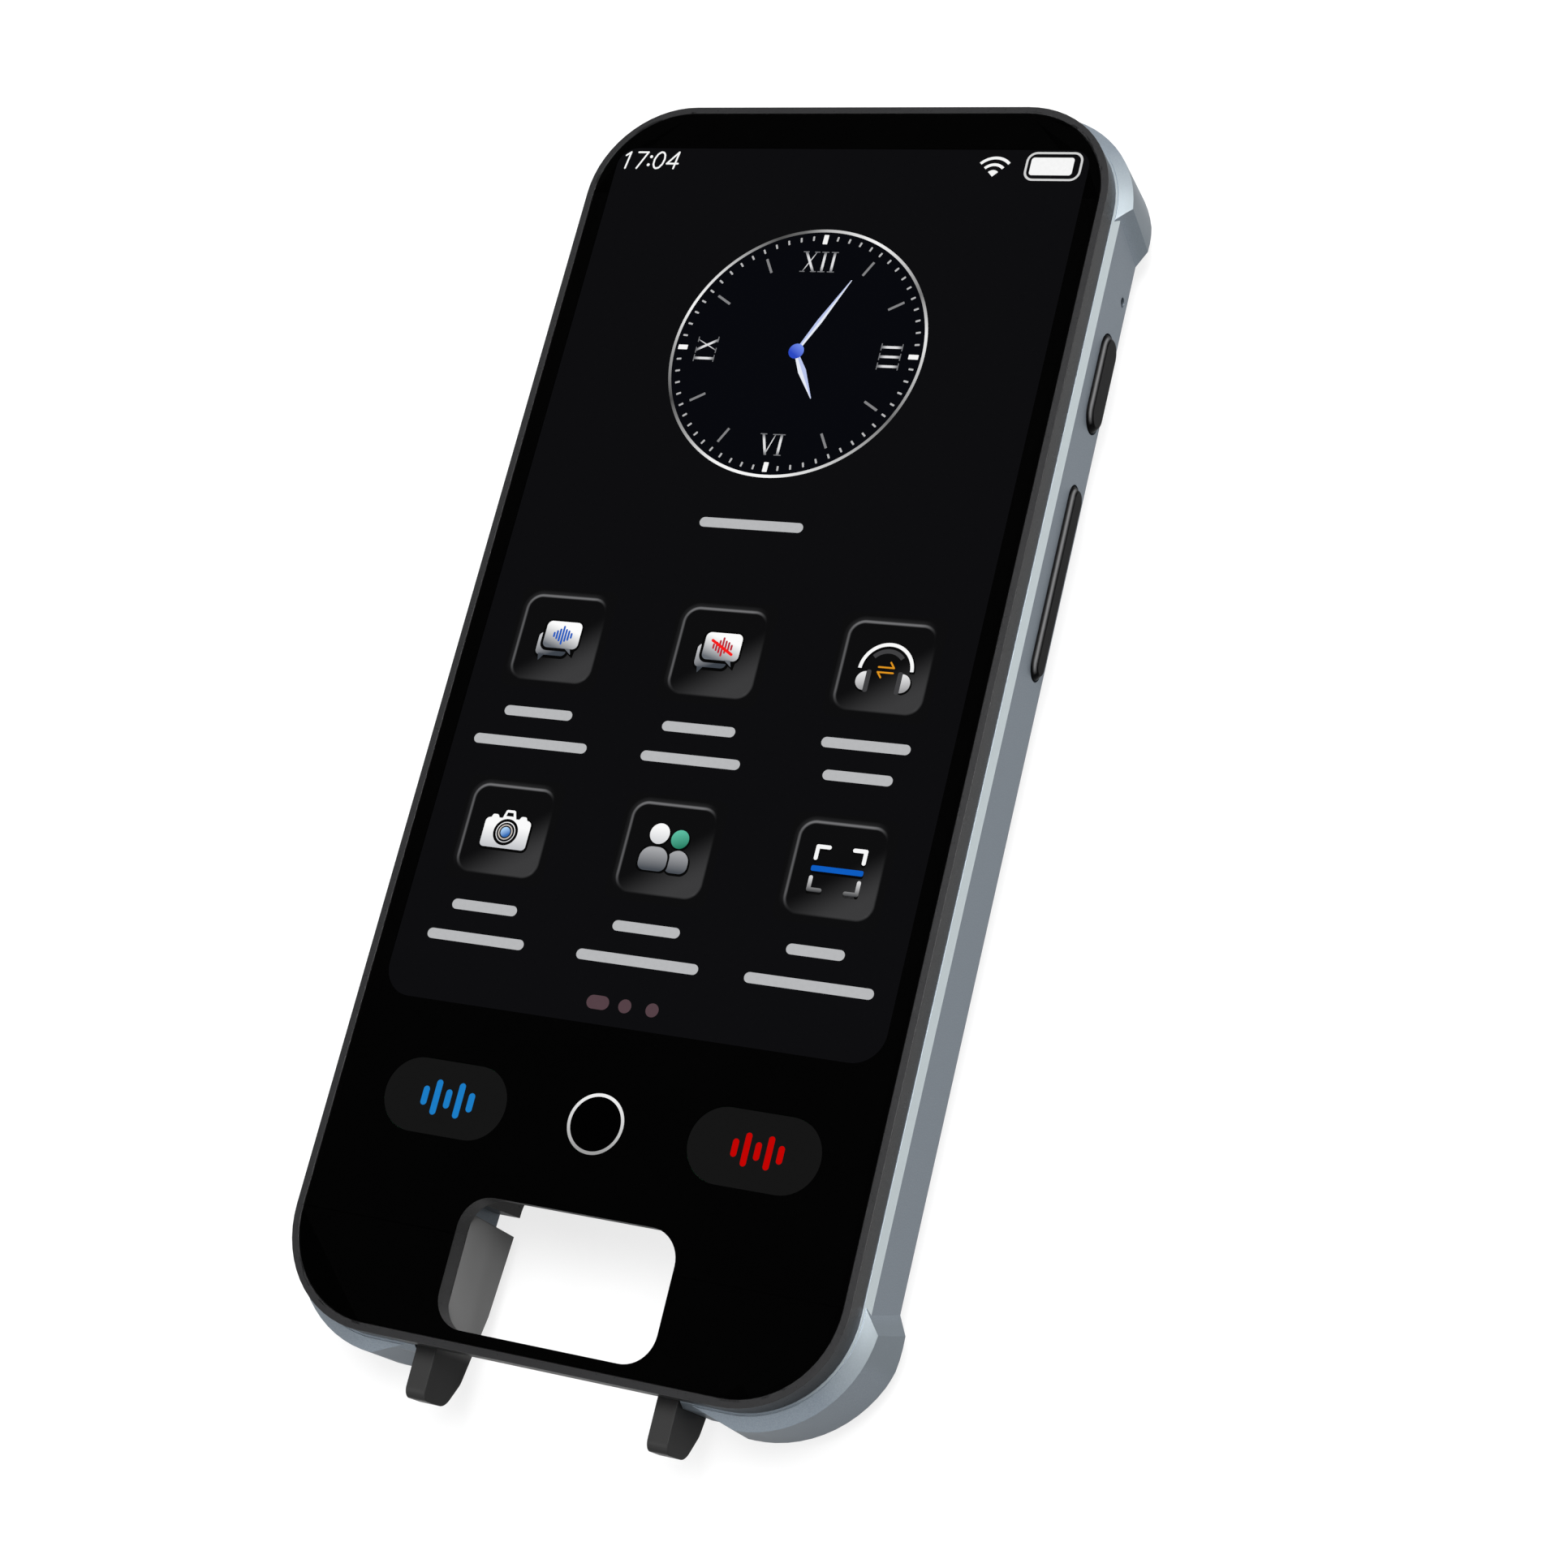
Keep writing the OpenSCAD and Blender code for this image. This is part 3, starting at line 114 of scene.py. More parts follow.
def srgb(*levels):
    """A colour given as 0 to 255 levels, in linear light."""
    linear = [((v / 255 + 0.055) / 1.055) ** 2.4 if v > 10 else v / 255 / 12.92 for v in levels]
    return (*linear, 1.0)


def scaled(tone, factor):
    """A colour made lighter or darker by a factor."""
    return tuple(min(1.0, c * factor) for c in tone[:3]) + (1.0,)


class Nodes:
    """A node tree under construction."""

    def __init__(self, tree):
        self.tree = tree
        tree.nodes.clear()

    def add(self, kind, **settings):
        node = self.tree.nodes.new(kind)
        for name, value in settings.items():
            setattr(node, name, value)
        return node

    def join(self, source, target):
        self.tree.links.new(source, target)

    def give(self, value, target):
        """Joins a socket to the target, or sets the target to a fixed value."""
        if isinstance(value, bpy.types.NodeSocket):
            self.join(value, target)
        else:
            target.default_value = value

    def axes(self, source):
        """The X, Y and Z of a vector."""
        split = self.add("ShaderNodeSeparateXYZ")
        self.join(source, split.inputs[0])
        return [split.outputs[axis] for axis in "XYZ"]

    def remap(self, value, low, high, to_low, to_high, smooth=False, clamp=True):
        """A value carried from the range low to high over to the range to_low to to_high."""
        node = self.add("ShaderNodeMapRange", clamp=clamp)
        if smooth:
            node.interpolation_type = "SMOOTHSTEP"
        self.join(value, node.inputs["Value"])
        limits = {"From Min": low, "From Max": high, "To Min": to_low, "To Max": to_high}
        for slot, number in limits.items():
            node.inputs[slot].default_value = number
        return node.outputs["Result"]

    def math(self, kind, first, second=0.0):
        """A Math node on sockets or numbers."""
        node = self.add("ShaderNodeMath", operation=kind)
        self.give(first, node.inputs[0])
        self.give(second, node.inputs[1])
        return node.outputs[0]

    def product(self, *factors):
        """The product of sockets or numbers, multiplied from left to right."""
        result = factors[0]
        for factor in factors[1:]:
            result = self.math("MULTIPLY", result, factor)
        return result

    def vector(self, kind, first, second=None, out=0):
        """A Vector Math node on a socket and, where needed, a fixed vector."""
        node = self.add("ShaderNodeVectorMath", operation=kind)
        self.join(first, node.inputs[0])
        if second is not None:
            node.inputs[1].default_value = second
        return node.outputs[out]

    def blend(self, factor, first, second):
        """A colour between two colours."""
        node = self.add("ShaderNodeMix", data_type="RGBA")
        self.join(factor, node.inputs["Factor"])
        self.give(first, node.inputs[6])
        self.give(second, node.inputs[7])
        return node.outputs[2]

    def ramp(self, factor, stops):
        """A colour ramp, given as (position, colour) stops."""
        node = self.add("ShaderNodeValToRGB")
        elements = node.color_ramp.elements
        while len(elements) < len(stops):
            elements.new(0.5)
        for element, (position, colour) in zip(elements, stops):
            element.position = position
            element.color = colour
        self.join(factor, node.inputs[0])
        return node.outputs[0]


class Finish(Nodes):
    """A material under construction: a Principled shader, joined to the output."""

    def __init__(self, name):
        self.material = bpy.data.materials.new(name)
        self.material.use_nodes = True
        super().__init__(self.material.node_tree)
        self.output = self.add("ShaderNodeOutputMaterial")
        self.shader = self.add("ShaderNodeBsdfPrincipled")
        self.show(self.shader)
        coordinates = self.add("ShaderNodeTexCoord")
        self.place = coordinates.outputs["Object"]
        self.facing = coordinates.outputs["Normal"]

    def show(self, shader):
        self.join(shader.outputs[0], self.output.inputs["Surface"])

    def show_mix(self, share, first, second):
        """Shows a mix of two shaders."""
        mix = self.add("ShaderNodeMixShader")
        self.join(share, mix.inputs[0])
        self.join(first.outputs[0], mix.inputs[1])
        self.join(second.outputs[0], mix.inputs[2])
        self.show(mix)

    def set(self, **values):
        """Sets sockets of the shader by their names in lower case."""
        sockets = {socket.name.lower().replace(" ", "_"): socket for socket in self.shader.inputs}
        for name, value in values.items():
            sockets[name].default_value = value
        return self

    def noise(self, size, detail=2.0):
        """Noise whose features are about size metres across."""
        node = self.add("ShaderNodeTexNoise")
        self.join(self.place, node.inputs["Vector"])
        node.inputs["Scale"].default_value = 1 / size
        node.inputs["Detail"].default_value = detail
        return node.outputs["Fac"]

    def colour(self, socket):
        self.join(socket, self.shader.inputs["Base Color"])
        return self

    def roughness(self, socket):
        self.join(socket, self.shader.inputs["Roughness"])
        return self

    def glow(self, socket):
        self.join(socket, self.shader.inputs["Emission Color"])
        return self

    def bump(self, height, depth, soft=0.0):
        """Fine relief, over edges softened by a small radius."""
        node = self.add("ShaderNodeBump")
        if soft:
            edge = self.add("ShaderNodeBevel", samples=6)
            edge.inputs["Radius"].default_value = soft
            self.join(edge.outputs[0], node.inputs["Normal"])
        node.inputs["Distance"].default_value = depth
        self.join(height, node.inputs["Height"])
        self.join(node.outputs[0], self.shader.inputs["Normal"])
        return self


# Materials of the product -------------------------------------------------------------------------

# Ranges that hold nearly all and most of a noise's values.
NOISE_WIDE = (0.25, 0.75)
NOISE_MOST = (0.3, 0.7)
# Sizes of patterns.
FLECK = 0.12 * MM
GRAIN = 0.25 * MM
STREAK = 0.4 * MM
MOTTLE = 6 * MM
CLOUD = 20 * MM
# Heights of relief.
GLOSS_RELIEF = 0.001 * MM
PAINT_RELIEF = 0.003 * MM
GRAIN_RELIEF = 0.004 * MM
# Radii that soften sharp edges.
CASE_EDGE = 0.04 * MM
FRAME_EDGE = 0.08 * MM
KEY_EDGE = 0.2 * MM
# Distances from the middle between which the corner bumpers leave the case wall, and over
# which their painted shade sets in.
BUMPER_START = (28.5 * MM, 28.9 * MM)
# Ranges of the normal's X and Z between which a face counts as the case's chamfer, which gets
# a painted highlight.
CHAMFER_OUT = (0.5, 0.86)
CHAMFER_UP = (0.22, 0.4)
# Range of the normal's X and Z between which a face counts as a key's bevel, which carries
# the painted highlight line.
KEY_BEVEL = (0.3, 0.6)
# Depths below a key's face where the painted highlight line starts, is brightest and ends.
KEY_HIGHLIGHT_LINE = (0.4 * MM, 0.24 * MM, 0.06 * MM)


def moulded(name, tone, rough, grain=GRAIN, depth=GRAIN_RELIEF, spread=0.06, coat=0.0, shine=0.5,
            soft=0.0):
    """Moulded or painted plastic: fine grain, faint mottling and slightly uneven gloss."""
    finish = Finish(name).set(coat_weight=coat, coat_roughness=0.12, specular_ior_level=shine)
    mottle = finish.noise(MOTTLE, 3.0)
    finish.colour(finish.blend(mottle, scaled(tone, 1 - spread), scaled(tone, 1 + spread)))
    fine = finish.noise(grain)
    finish.roughness(finish.remap(fine, *NOISE_WIDE, rough * 0.88, rough * 1.12))
    return finish.bump(fine, depth, soft)


def case_paint(name):
    """Satin bluish-grey metallic paint with a very fine grain, with painted shade on the corner
    bumpers and a painted highlight on the chamfers along the sides."""
    finish = Finish(name).set(metallic=0.7, specular_ior_level=0.25)
    fleck = finish.noise(FLECK, 1.0)
    flecks = finish.remap(fleck, *NOISE_MOST, 0, 1)
    tone = finish.blend(flecks, srgb(131, 141, 151), srgb(147, 157, 167))
    cloud = finish.remap(finish.noise(CLOUD), *NOISE_MOST, 0, 0.25)
    tone = finish.blend(cloud, tone, srgb(138, 150, 161))
    beside = finish.math("ABSOLUTE", finish.axes(finish.place)[0])
    # Painted shade: the corner bumpers get a darker tone that stands in for shade.
    bumper_painted_shade = finish.remap(beside, *BUMPER_START, 0, 0.35)
    tone = finish.blend(bumper_painted_shade, tone, srgb(118, 129, 134))
    across, _, up = finish.axes(finish.facing)
    outward = finish.remap(finish.math("ABSOLUTE", across), *CHAMFER_OUT, 0, 1)
    # Painted highlight: the chamfers get a pale tone that stands in for the light they reflect.
    chamfer_painted_highlight = finish.product(outward, finish.remap(up, *CHAMFER_UP, 0, 1))
    finish.colour(finish.blend(chamfer_painted_highlight, tone, srgb(183, 192, 195)))
    uneven = finish.remap(fleck, *NOISE_MOST, 0.31, 0.37)
    finish.roughness(finish.math("ADD", uneven, finish.product(chamfer_painted_highlight, 0.12)))
    return finish.bump(fleck, PAINT_RELIEF, CASE_EDGE)


def key_skin(name, tone, edge):
    """Glossy black plastic with a painted highlight: a soft pale line along the middle of its
    upper bevel.
    """
    finish = Finish(name).set(specular_ior_level=0.03)
    out = finish.axes(finish.place)[0]
    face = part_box("power_key")[1][0]
    start, crest, end = (face - depth for depth in KEY_HIGHLIGHT_LINE)
    rise = finish.remap(out, start, crest, 0, 1, smooth=True)
    fall = finish.remap(out, crest, end, 1, 0, smooth=True)
    across, _, up = finish.axes(finish.facing)
    bevel = finish.product(*(finish.remap(axis, *KEY_BEVEL, 0, 1) for axis in (across, up)))
    # Painted highlight: a pale line along the bevel, in the middle of its depth.
    finish.colour(finish.blend(finish.product(bevel, finish.product(rise, fall)), tone, edge))
    fine = finish.noise(GRAIN)
    finish.roughness(finish.remap(fine, *NOISE_WIDE, 0.14, 0.18))
    return finish.bump(fine, GLOSS_RELIEF, KEY_EDGE)


def foot_skin(name, tone, inner):
    """Black plastic whose flanks turn pale grey where a foot runs inside the case, as a painted
    reflection of the floor.
    """
    finish = Finish(name).set(specular_ior_level=0.05)
    _, along, up = finish.axes(finish.place)
    case_end, foot_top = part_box("back_shell")[0][1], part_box("left_scan_foot")[1][2]
    wall = NODES["left_scan_foot"].matrix_world.inverted() @ Vector((0, case_end, foot_top))
    inside = finish.remap(along, wall.y + 1 * MM, wall.y + 3 * MM, 0, 1, smooth=True)
    below = finish.remap(up, wall.z - 0.1 * MM, wall.z - 0.02 * MM, 1, 0)
    # Painted reflection: the pale grey stands in for the floor mirrored in the glossy flanks.
    finish.colour(finish.blend(finish.product(inside, below), tone, inner))
    fine = finish.noise(GRAIN)
    finish.roughness(finish.remap(fine, *NOISE_WIDE, 0.19, 0.24))
    return finish.bump(fine, GLOSS_RELIEF, KEY_EDGE)


def clear_glass(name):
    """Thin cover glass: clear straight through, with a mirror sheen on its upper face that grows
    with the angle and ends at its ground edge."""
    finish = Finish(name)
    finish.tree.nodes.remove(finish.shader)
    through = finish.add("ShaderNodeBsdfTransparent")
    mirror = finish.add("ShaderNodeBsdfGlossy")
    mirror.inputs["Roughness"].default_value = 0.03
    slope = finish.add("ShaderNodeLayerWeight")
    slope.inputs["Blend"].default_value = 0.5
    sheen = finish.remap(finish.math("POWER", slope.outputs["Facing"], 5.0), 0, 1, 0.02, 1)
    middle = (NODES["cover_glass"].matrix_world.inverted() @ GLASS_MIDDLE).z
    upper = finish.math("GREATER_THAN", finish.axes(finish.place)[2], middle)
    upright = finish.math("ABSOLUTE", finish.axes(finish.facing)[2])
    flat = finish.remap(upright, 0.9, 0.98, 0, 1)
    finish.show_mix(finish.product(sheen, upper, flat), through, mirror)
    return finish


def lens_coating(name):
    """Dark lens glass with a blue and violet coating."""
    finish = Finish(name).set(roughness=0.04, coat_weight=1.0, coat_roughness=0.02)
    edge = finish.add("ShaderNodeLayerWeight")
    edge.inputs["Blend"].default_value = 0.35
    return finish.colour(finish.blend(edge.outputs["Facing"], srgb(16, 22, 60), srgb(70, 60, 130)))


def metal(name, tone, rough):
    """Bare metal with fine streaks."""
    finish = Finish(name).set(metallic=1.0)
    fine = finish.noise(STREAK, 3.0)
    finish.colour(finish.blend(fine, tone, scaled(tone, 1.15)))
    return finish.roughness(finish.remap(fine, *NOISE_MOST, rough * 0.8, rough * 1.2))


def own_light(name):
    """A material that gives only its own light, as a screen does."""
    return Finish(name).set(base_color=NO_LIGHT, roughness=0.5, specular_ior_level=0.0,
                            emission_strength=1.0)


def lit_screen(name, tone):
    """An evenly lit surface with the faint grain of a screen."""
    finish = own_light(name)
    grain = finish.remap(finish.noise(STREAK, 1.0), *NOISE_MOST, 0, 1)
    return finish.glow(finish.blend(grain, scaled(tone, 0.96), tone))


def lit_fade(name, low, high, along, start, stop):
    """A lit surface that fades between two colours from start to stop, in mm from the shape's own
    point."""
    finish = own_light(name)
    height = finish.vector("DOT_PRODUCT", finish.place, (*along, 0.0), out=1)
    share = finish.remap(height, start * MM, stop * MM, 0, 1)
    return finish.glow(finish.blend(share, low, high))


FINISHES = {
    "case_grey": case_paint("case_grey"),
    "grille_grey": case_paint("grille_grey"),
    "frame_black": moulded("frame_black", srgb(38, 38, 39), 0.3, shine=0.25, soft=FRAME_EDGE),
    "clear_glass": clear_glass("clear_glass"),
    "black_print": moulded("black_print", srgb(2, 2, 2), 0.6, spread=0.2, shine=0.0),
    "black_tape": moulded("black_tape", srgb(22, 22, 22), 0.7),
    "screen": lit_screen("screen", srgb(14, 14, 16)),
    "white_film": moulded("white_film", srgb(225, 225, 222), 0.5),
    "flex_amber": moulded("flex_amber", srgb(196, 130, 62), 0.3),
    "board_green": moulded("board_green", srgb(22, 92, 58), 0.35, coat=0.4),
    "key_light": lit_screen("key_light", srgb(22, 22, 22)),
    "liner_black": moulded("liner_black", srgb(62, 62, 62), 0.3),
    "mesh_black": moulded("mesh_black", srgb(20, 20, 20), 0.8, grain=0.2 * MM, depth=0.04 * MM),
    "foam_black": moulded("foam_black", srgb(34, 34, 34), 0.9, grain=0.3 * MM, depth=0.06 * MM),
    "moulded_black": moulded("moulded_black", srgb(28, 28, 29), 0.45),
    "cover_black": moulded("cover_black", srgb(5, 5, 5), 0.12, coat=1.0, depth=0.0005 * MM),
    "ring_metal": metal("ring_metal", srgb(200, 202, 205), 0.16),
    "lens_glass": lens_coating("lens_glass"),
    "tin_plate": metal("tin_plate", srgb(196, 196, 200), 0.32),
    "battery_grey": moulded("battery_grey", srgb(92, 95, 102), 0.42),
    "spring_steel": metal("spring_steel", srgb(190, 191, 196), 0.22),
    "screw_steel": metal("screw_steel", srgb(186, 186, 190), 0.28),
    "yoke_steel": metal("yoke_steel", srgb(176, 176, 180), 0.36),
    # The keys' second tone is a painted highlight line on their bevels.
    "key_black": key_skin("key_black", srgb(7, 7, 8), srgb(104, 104, 105)),
    # The feet's second tone is a painted reflection on their flanks inside the case.
    "foot_black": foot_skin("foot_black", srgb(50, 50, 50), srgb(140, 140, 140)),
}
HOME_DARK = lit_screen("home_dark", srgb(1, 1, 1))


def dress_nodes():
    """Gives each CAD node the finish of its material slot. The home key's light stays off."""
    slots = {part["node"]: part["material_slot"] for part in frame["record"]["subparts"]}
    for name, node in NODES.items():
        node.data.materials.clear()
        finish = HOME_DARK if name == "home_key_light" else FINISHES[slots[name]]
        node.data.materials.append(finish.material)


# Springs of the feet ------------------------------------------------------------------------------


def return_springs():
    """The two coil springs behind the feet, as a copy of their own that rides with the housing."""
    coils = new_object("return_springs", NODES["foot_springs"].data.copy())
    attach(coils, BODY)
    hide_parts("foot_springs")
    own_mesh(coils)


# Flat shapes, in mm -------------------------------------------------------------------------------

CURVE_STEPS = 10
DISC_STEPS = 64
RING_STEPS = 144


def arc(x, y, radius, angles):
    """Points round a centre, at the given angles."""
    return [(x + radius * math.cos(a), y + radius * math.sin(a)) for a in angles]


def degrees(start, stop, step):
    """Angles from start to stop, both in degrees and both included."""
    return [math.radians(a) for a in range(start, stop + 1, step)]


def disc(x, y, radius, steps=DISC_STEPS):
    return arc(x, y, radius, [2 * math.pi * i / steps for i in range(steps)])


def ring(outer, inner, steps=DISC_STEPS):
    """The two outlines of a ring."""
    return [disc(0, 0, outer, steps), disc(0, 0, inner, steps)]


def rounded(x, y, width, height, radii, steps=CURVE_STEPS):
    """A rectangle with rounded corners, from its upper right one on, of one radius or of four."""
    points = []
    for corner in range(4):
        radius = radii[corner] if isinstance(radii, tuple) else radii
        middle_x = x + (width / 2 - radius) * (1 if corner in (0, 3) else -1)
        middle_y = y + (height / 2 - radius) * (1 if corner in (0, 1) else -1)
        quarter = [math.pi / 2 * (corner + i / steps) for i in range(steps + 1)]
        points += arc(middle_x, middle_y, radius, quarter)
    return points


def stroke(x0, y0, x1, y1, width, steps=CURVE_STEPS):
    """A straight line with round ends."""
    turn = math.atan2(y1 - y0, x1 - x0)
    points = []
    for x, y, start in ((x1, y1, turn - math.pi / 2), (x0, y0, turn + math.pi / 2)):
        points += arc(x, y, width / 2, [start + math.pi * i / steps for i in range(steps + 1)])
    return points


def arc_band(inner, outer, start, end, steps=24):
    """Part of a ring between two angles in degrees."""
    angles = [math.radians(start + (end - start) * i / steps) for i in range(steps + 1)]
    return arc(0, 0, outer, angles) + arc(0, 0, inner, angles[::-1])


def turned(points, angle):
    """An outline turned about its point by an angle in degrees."""
    c, s = math.cos(math.radians(angle)), math.sin(math.radians(angle))
    return [(c * x - s * y, s * x + c * y) for x, y in points]


def grown(points, by):
    """A closed outline moved outwards by a distance."""
    before, after = points[-1:] + points[:-1], points[1:] + points[:1]
    area = sum(x * next_y - next_x * y for (x, y), (next_x, next_y) in zip(points, after))
    sign = 1 if area > 0 else -1
    outline = []
    for (last_x, last_y), (x, y), (next_x, next_y) in zip(before, points, after):
        dx, dy = next_x - last_x, next_y - last_y
        length = math.hypot(dx, dy) or 1.0
        outline.append((x + sign * dy / length * by, y - sign * dx / length * by))
    return outline


# The screen's palette and layers ------------------------------------------------------------------

WHITE = lit_screen("ui_white", srgb(250, 250, 250))
GREY = lit_screen("ui_grey", srgb(132, 132, 134))
SOFT = lit_screen("ui_caption", srgb(186, 187, 189))
OUTLINE = lit_screen("ui_outline", srgb(214, 214, 214))
TICK = lit_screen("ui_tick", srgb(186, 186, 187))
BLUE = lit_screen("ui_blue", srgb(28, 126, 200))
RED = lit_screen("ui_red", srgb(196, 4, 2))
BRIGHT_RED = lit_screen("ui_bright_red", srgb(250, 30, 28))
CRIMSON = lit_screen("ui_crimson", srgb(186, 44, 58))
DEEP_BLUE = lit_screen("ui_deep_blue", srgb(14, 94, 196))
VOICE_BLUE = lit_screen("ui_voice_blue", srgb(36, 92, 192))
AMBER = lit_screen("ui_amber", srgb(228, 152, 32))
MAUVE = lit_screen("ui_mauve", srgb(86, 66, 72))
DIAL = lit_screen("ui_dial", srgb(8, 9, 14))
INK = lit_screen("ui_ink", srgb(7, 7, 7))
DARK_PAD = lit_screen("ui_dark_pad", srgb(66, 66, 68))
IRIS = lit_screen("ui_iris", srgb(24, 26, 30))
WARM = lit_screen("ui_warm", srgb(206, 198, 190))
REAR_TAIL = lit_screen("ui_rear_tail", srgb(66, 71, 78))
FRONT_TAIL = lit_screen("ui_front_tail", srgb(104, 108, 114))
HAND_LIT = lit_screen("ui_hand_lit", srgb(236, 240, 250))
HAND_DIM = lit_screen("ui_hand_dim", srgb(190, 202, 242))
SILVER = lit_fade("ui_silver", srgb(104, 109, 116), srgb(254, 254, 254), (0.3, 1), -1.5, 0.75)
PALE = lit_fade("ui_pale", srgb(198, 200, 204), srgb(252, 252, 252), (0, 1), -1.4, 0.6)
SLATE = lit_fade("ui_slate", srgb(62, 68, 76), srgb(206, 207, 210), (-0.45, 1), -1.0, 1.7)
SHOULDER = lit_fade("ui_shoulder", srgb(72, 77, 84), srgb(166, 167, 170), (0, 1), -1.0, 0.9)
GREEN = lit_fade("ui_green", srgb(36, 124, 96), srgb(96, 194, 166), (-0.3, 1), -0.9, 0.9)
CUP = lit_fade("ui_cup", srgb(150, 150, 152), srgb(232, 232, 233), (-0.2, 1), -0.9, 0.8)
CORNER_FADE = lit_fade("ui_corner", srgb(66, 67, 69), srgb(214, 214, 215), (0, 1), -2.2, -0.9)
PUPIL = lit_fade("ui_pupil", srgb(52, 108, 184), srgb(176, 214, 250), (-0.6, 1), -0.4, 0.5)
HUB = lit_fade("ui_hub", srgb(44, 74, 196), srgb(118, 146, 240), (0.7, 1), -0.5, 1.0)
HOME = lit_fade("ui_home", srgb(158, 158, 158), srgb(242, 242, 242), (0, 1), -2.4, 2.4)

# The lit shapes are thin sheets, in layers over the screen and in one over the touch keys.
SHEET = 0.012 * MM
SHEET_STEP = 0.016 * MM
SCREEN_GAP = 0.008 * MM
KEY_GAP = 0.01 * MM
SCREEN_TOP = Vector(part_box("display_panel")[1]).z
KEY_TOP = Vector(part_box("left_key_light")[1]).z
UI = [SCREEN_TOP + SCREEN_GAP + i * SHEET_STEP for i in range(7)]
KEY_SHEET = KEY_TOP + KEY_GAP
SHADOW_DROP = (0.06, -0.1)
CAPTION_THICK = 1.0
CAPTION_STEP = 3.1


def mark(name, outlines, level, finish, at):
    """A lit shape: closed outlines in mm about a point of the glass, inner ones being holes."""
    curve = bpy.data.curves.new(name, "CURVE")
    curve.dimensions = "2D"
    curve.fill_mode = "BOTH"
    curve.extrude = SHEET / 2
    for outline in outlines:
        spline = curve.splines.new("POLY")
        spline.points.add(len(outline) - 1)
        spline.use_cyclic_u = True
        for point, (x, y) in zip(spline.points, outline):
            point.co = (x * MM, y * MM, 0, 1)
    draft = new_object(name + "_draft", curve)
    bpy.context.view_layer.update()
    shaped = draft.evaluated_get(bpy.context.evaluated_depsgraph_get())
    mesh = bpy.data.meshes.new_from_object(shaped)
    mesh.name = name
    bpy.data.objects.remove(draft)
    mesh.materials.clear()
    mesh.materials.append(finish.material)
    piece = new_object(name, mesh)
    piece.location = (GLASS_MIDDLE.x + at[0] * MM, GLASS_MIDDLE.y + at[1] * MM, level + SHEET / 2)
    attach(piece, BODY)


def moved(point, x, y):
    """A point shifted by x and y."""
    return point[0] + x, point[1] + y


def shaded(name, outline, level, finish, at, ink=0.2):
    """A shape over its own dark shadow, which is larger by ink and falls to the lower right."""
    mark(name + "_shadow", [grown(outline, ink)], level, INK, moved(at, *SHADOW_DROP))
    mark(name, [outline], level + SHEET_STEP, finish, at)


def caption(name, x, y, widths):
    """Plain bars where the screen carries words, as (shift, width) of each row."""
    for row, (shift, width) in enumerate(widths):
        end = width / 2 - CAPTION_THICK / 2
        mark(f"{name}_caption_{row}", [stroke(-end, 0, end, 0, CAPTION_THICK)], UI[1], SOFT,
             (x + shift, y - CAPTION_STEP * row))


# App icons ----------------------------------------------------------------------------------------

ICON_COLUMNS = (-17.12, -0.02, 17.04)
ICON_ROWS = (4.40, -15.22)
CAPTION_ROWS = (-3.3, -22.9)
CAPTIONS = ((((0, 7.4), (0, 12.3)), ((0.05, 7.6), (0, 10.3)), ((-0.05, 8.8), (-0.1, 6.9))),
            (((0, 7.0), (-0.05, 10.4)), ((0, 6.9), (-0.1, 12.5)), ((-0.1, 5.7), (0, 12.6))))
TILE_SIDE = 8.8
TILE_ROUND = 1.55
TILE_MARGIN = 1.6
TILE_DARK = srgb(14, 14, 15)


def tile_glow(finish, distance, across, up):
    """Share of light along a tile's top and left edges: a fine line and a faint glow outside it,
    which fade out towards the other two edges."""
    turn = finish.math("MAXIMUM", across, finish.product(up, -1.0))
    fade = finish.remap(turn, 0.55, 0.98, 1, 0, smooth=True)
    off_line = finish.math("ABSOLUTE", finish.math("ADD", distance, 0.08 * MM))
    line = finish.remap(off_line, 0.0, 0.22 * MM, 1, 0, smooth=True)
    outer = finish.product(finish.remap(distance, 0.0, 0.5 * MM, 0.1, 0),
                           finish.remap(distance, -0.1 * MM, 0.0, 0, 1))
    side = finish.remap(up, 0.75, 0.95, 0.62, 1.0)
    return finish.product(finish.math("MAXIMUM", line, outer), fade, side)


def tile_finish():
    """One tile of the screen: dark, lighter towards its lower right, with a line of light along
    its top and left edges."""
    finish = own_light("ui_tile")
    half = TILE_SIDE / 2 * MM
    across, up = (finish.remap(axis, -half, half, -1, 1, clamp=False)
                  for axis in finish.axes(finish.place)[:2])

    # Distance from the rounded outline, positive outside.
    inner = half - TILE_ROUND * MM
    away = finish.vector("ABSOLUTE", finish.place)
    away = finish.vector("SUBTRACT", away, (inner, inner, 1.0))
    away = finish.vector("MAXIMUM", away, (0.0, 0.0, 0.0))
    distance = finish.vector("LENGTH", away, out=1)
    distance = finish.math("SUBTRACT", distance, TILE_ROUND * MM)

    slope = finish.math("SUBTRACT", finish.product(across, 0.35), finish.product(up, 0.5))
    face = finish.blend(finish.remap(slope, 0.02, 0.6, 0, 1, smooth=True), TILE_DARK,
                        srgb(60, 60, 61))
    inside = finish.remap(distance, 0.12 * MM, -0.16 * MM, 0, 1, smooth=True)
    colour = finish.blend(inside, TILE_DARK, face)
    glow = tile_glow(finish, distance, across, up)
    return finish.glow(finish.blend(glow, colour, srgb(116, 116, 118)))


TILE = tile_finish()


def tile(name, place):
    reach = TILE_SIDE + TILE_MARGIN
    mark(name + "_tile", [rounded(0, 0, reach, reach, 1.0)], UI[0], TILE, place)


def voice_bars():
    """Upright bars of a voice, taller towards the middle."""
    heights, pitch, thick = (0.56, 0.94, 1.34, 1.96, 1.34, 1.08, 0.6), 0.31, 0.2
    bars = []
    for i, height in enumerate(heights):
        x, end = pitch * (i - 3), height / 2 - thick / 2
        bars.append(stroke(x, -end, x, end, thick, 4))
    return bars


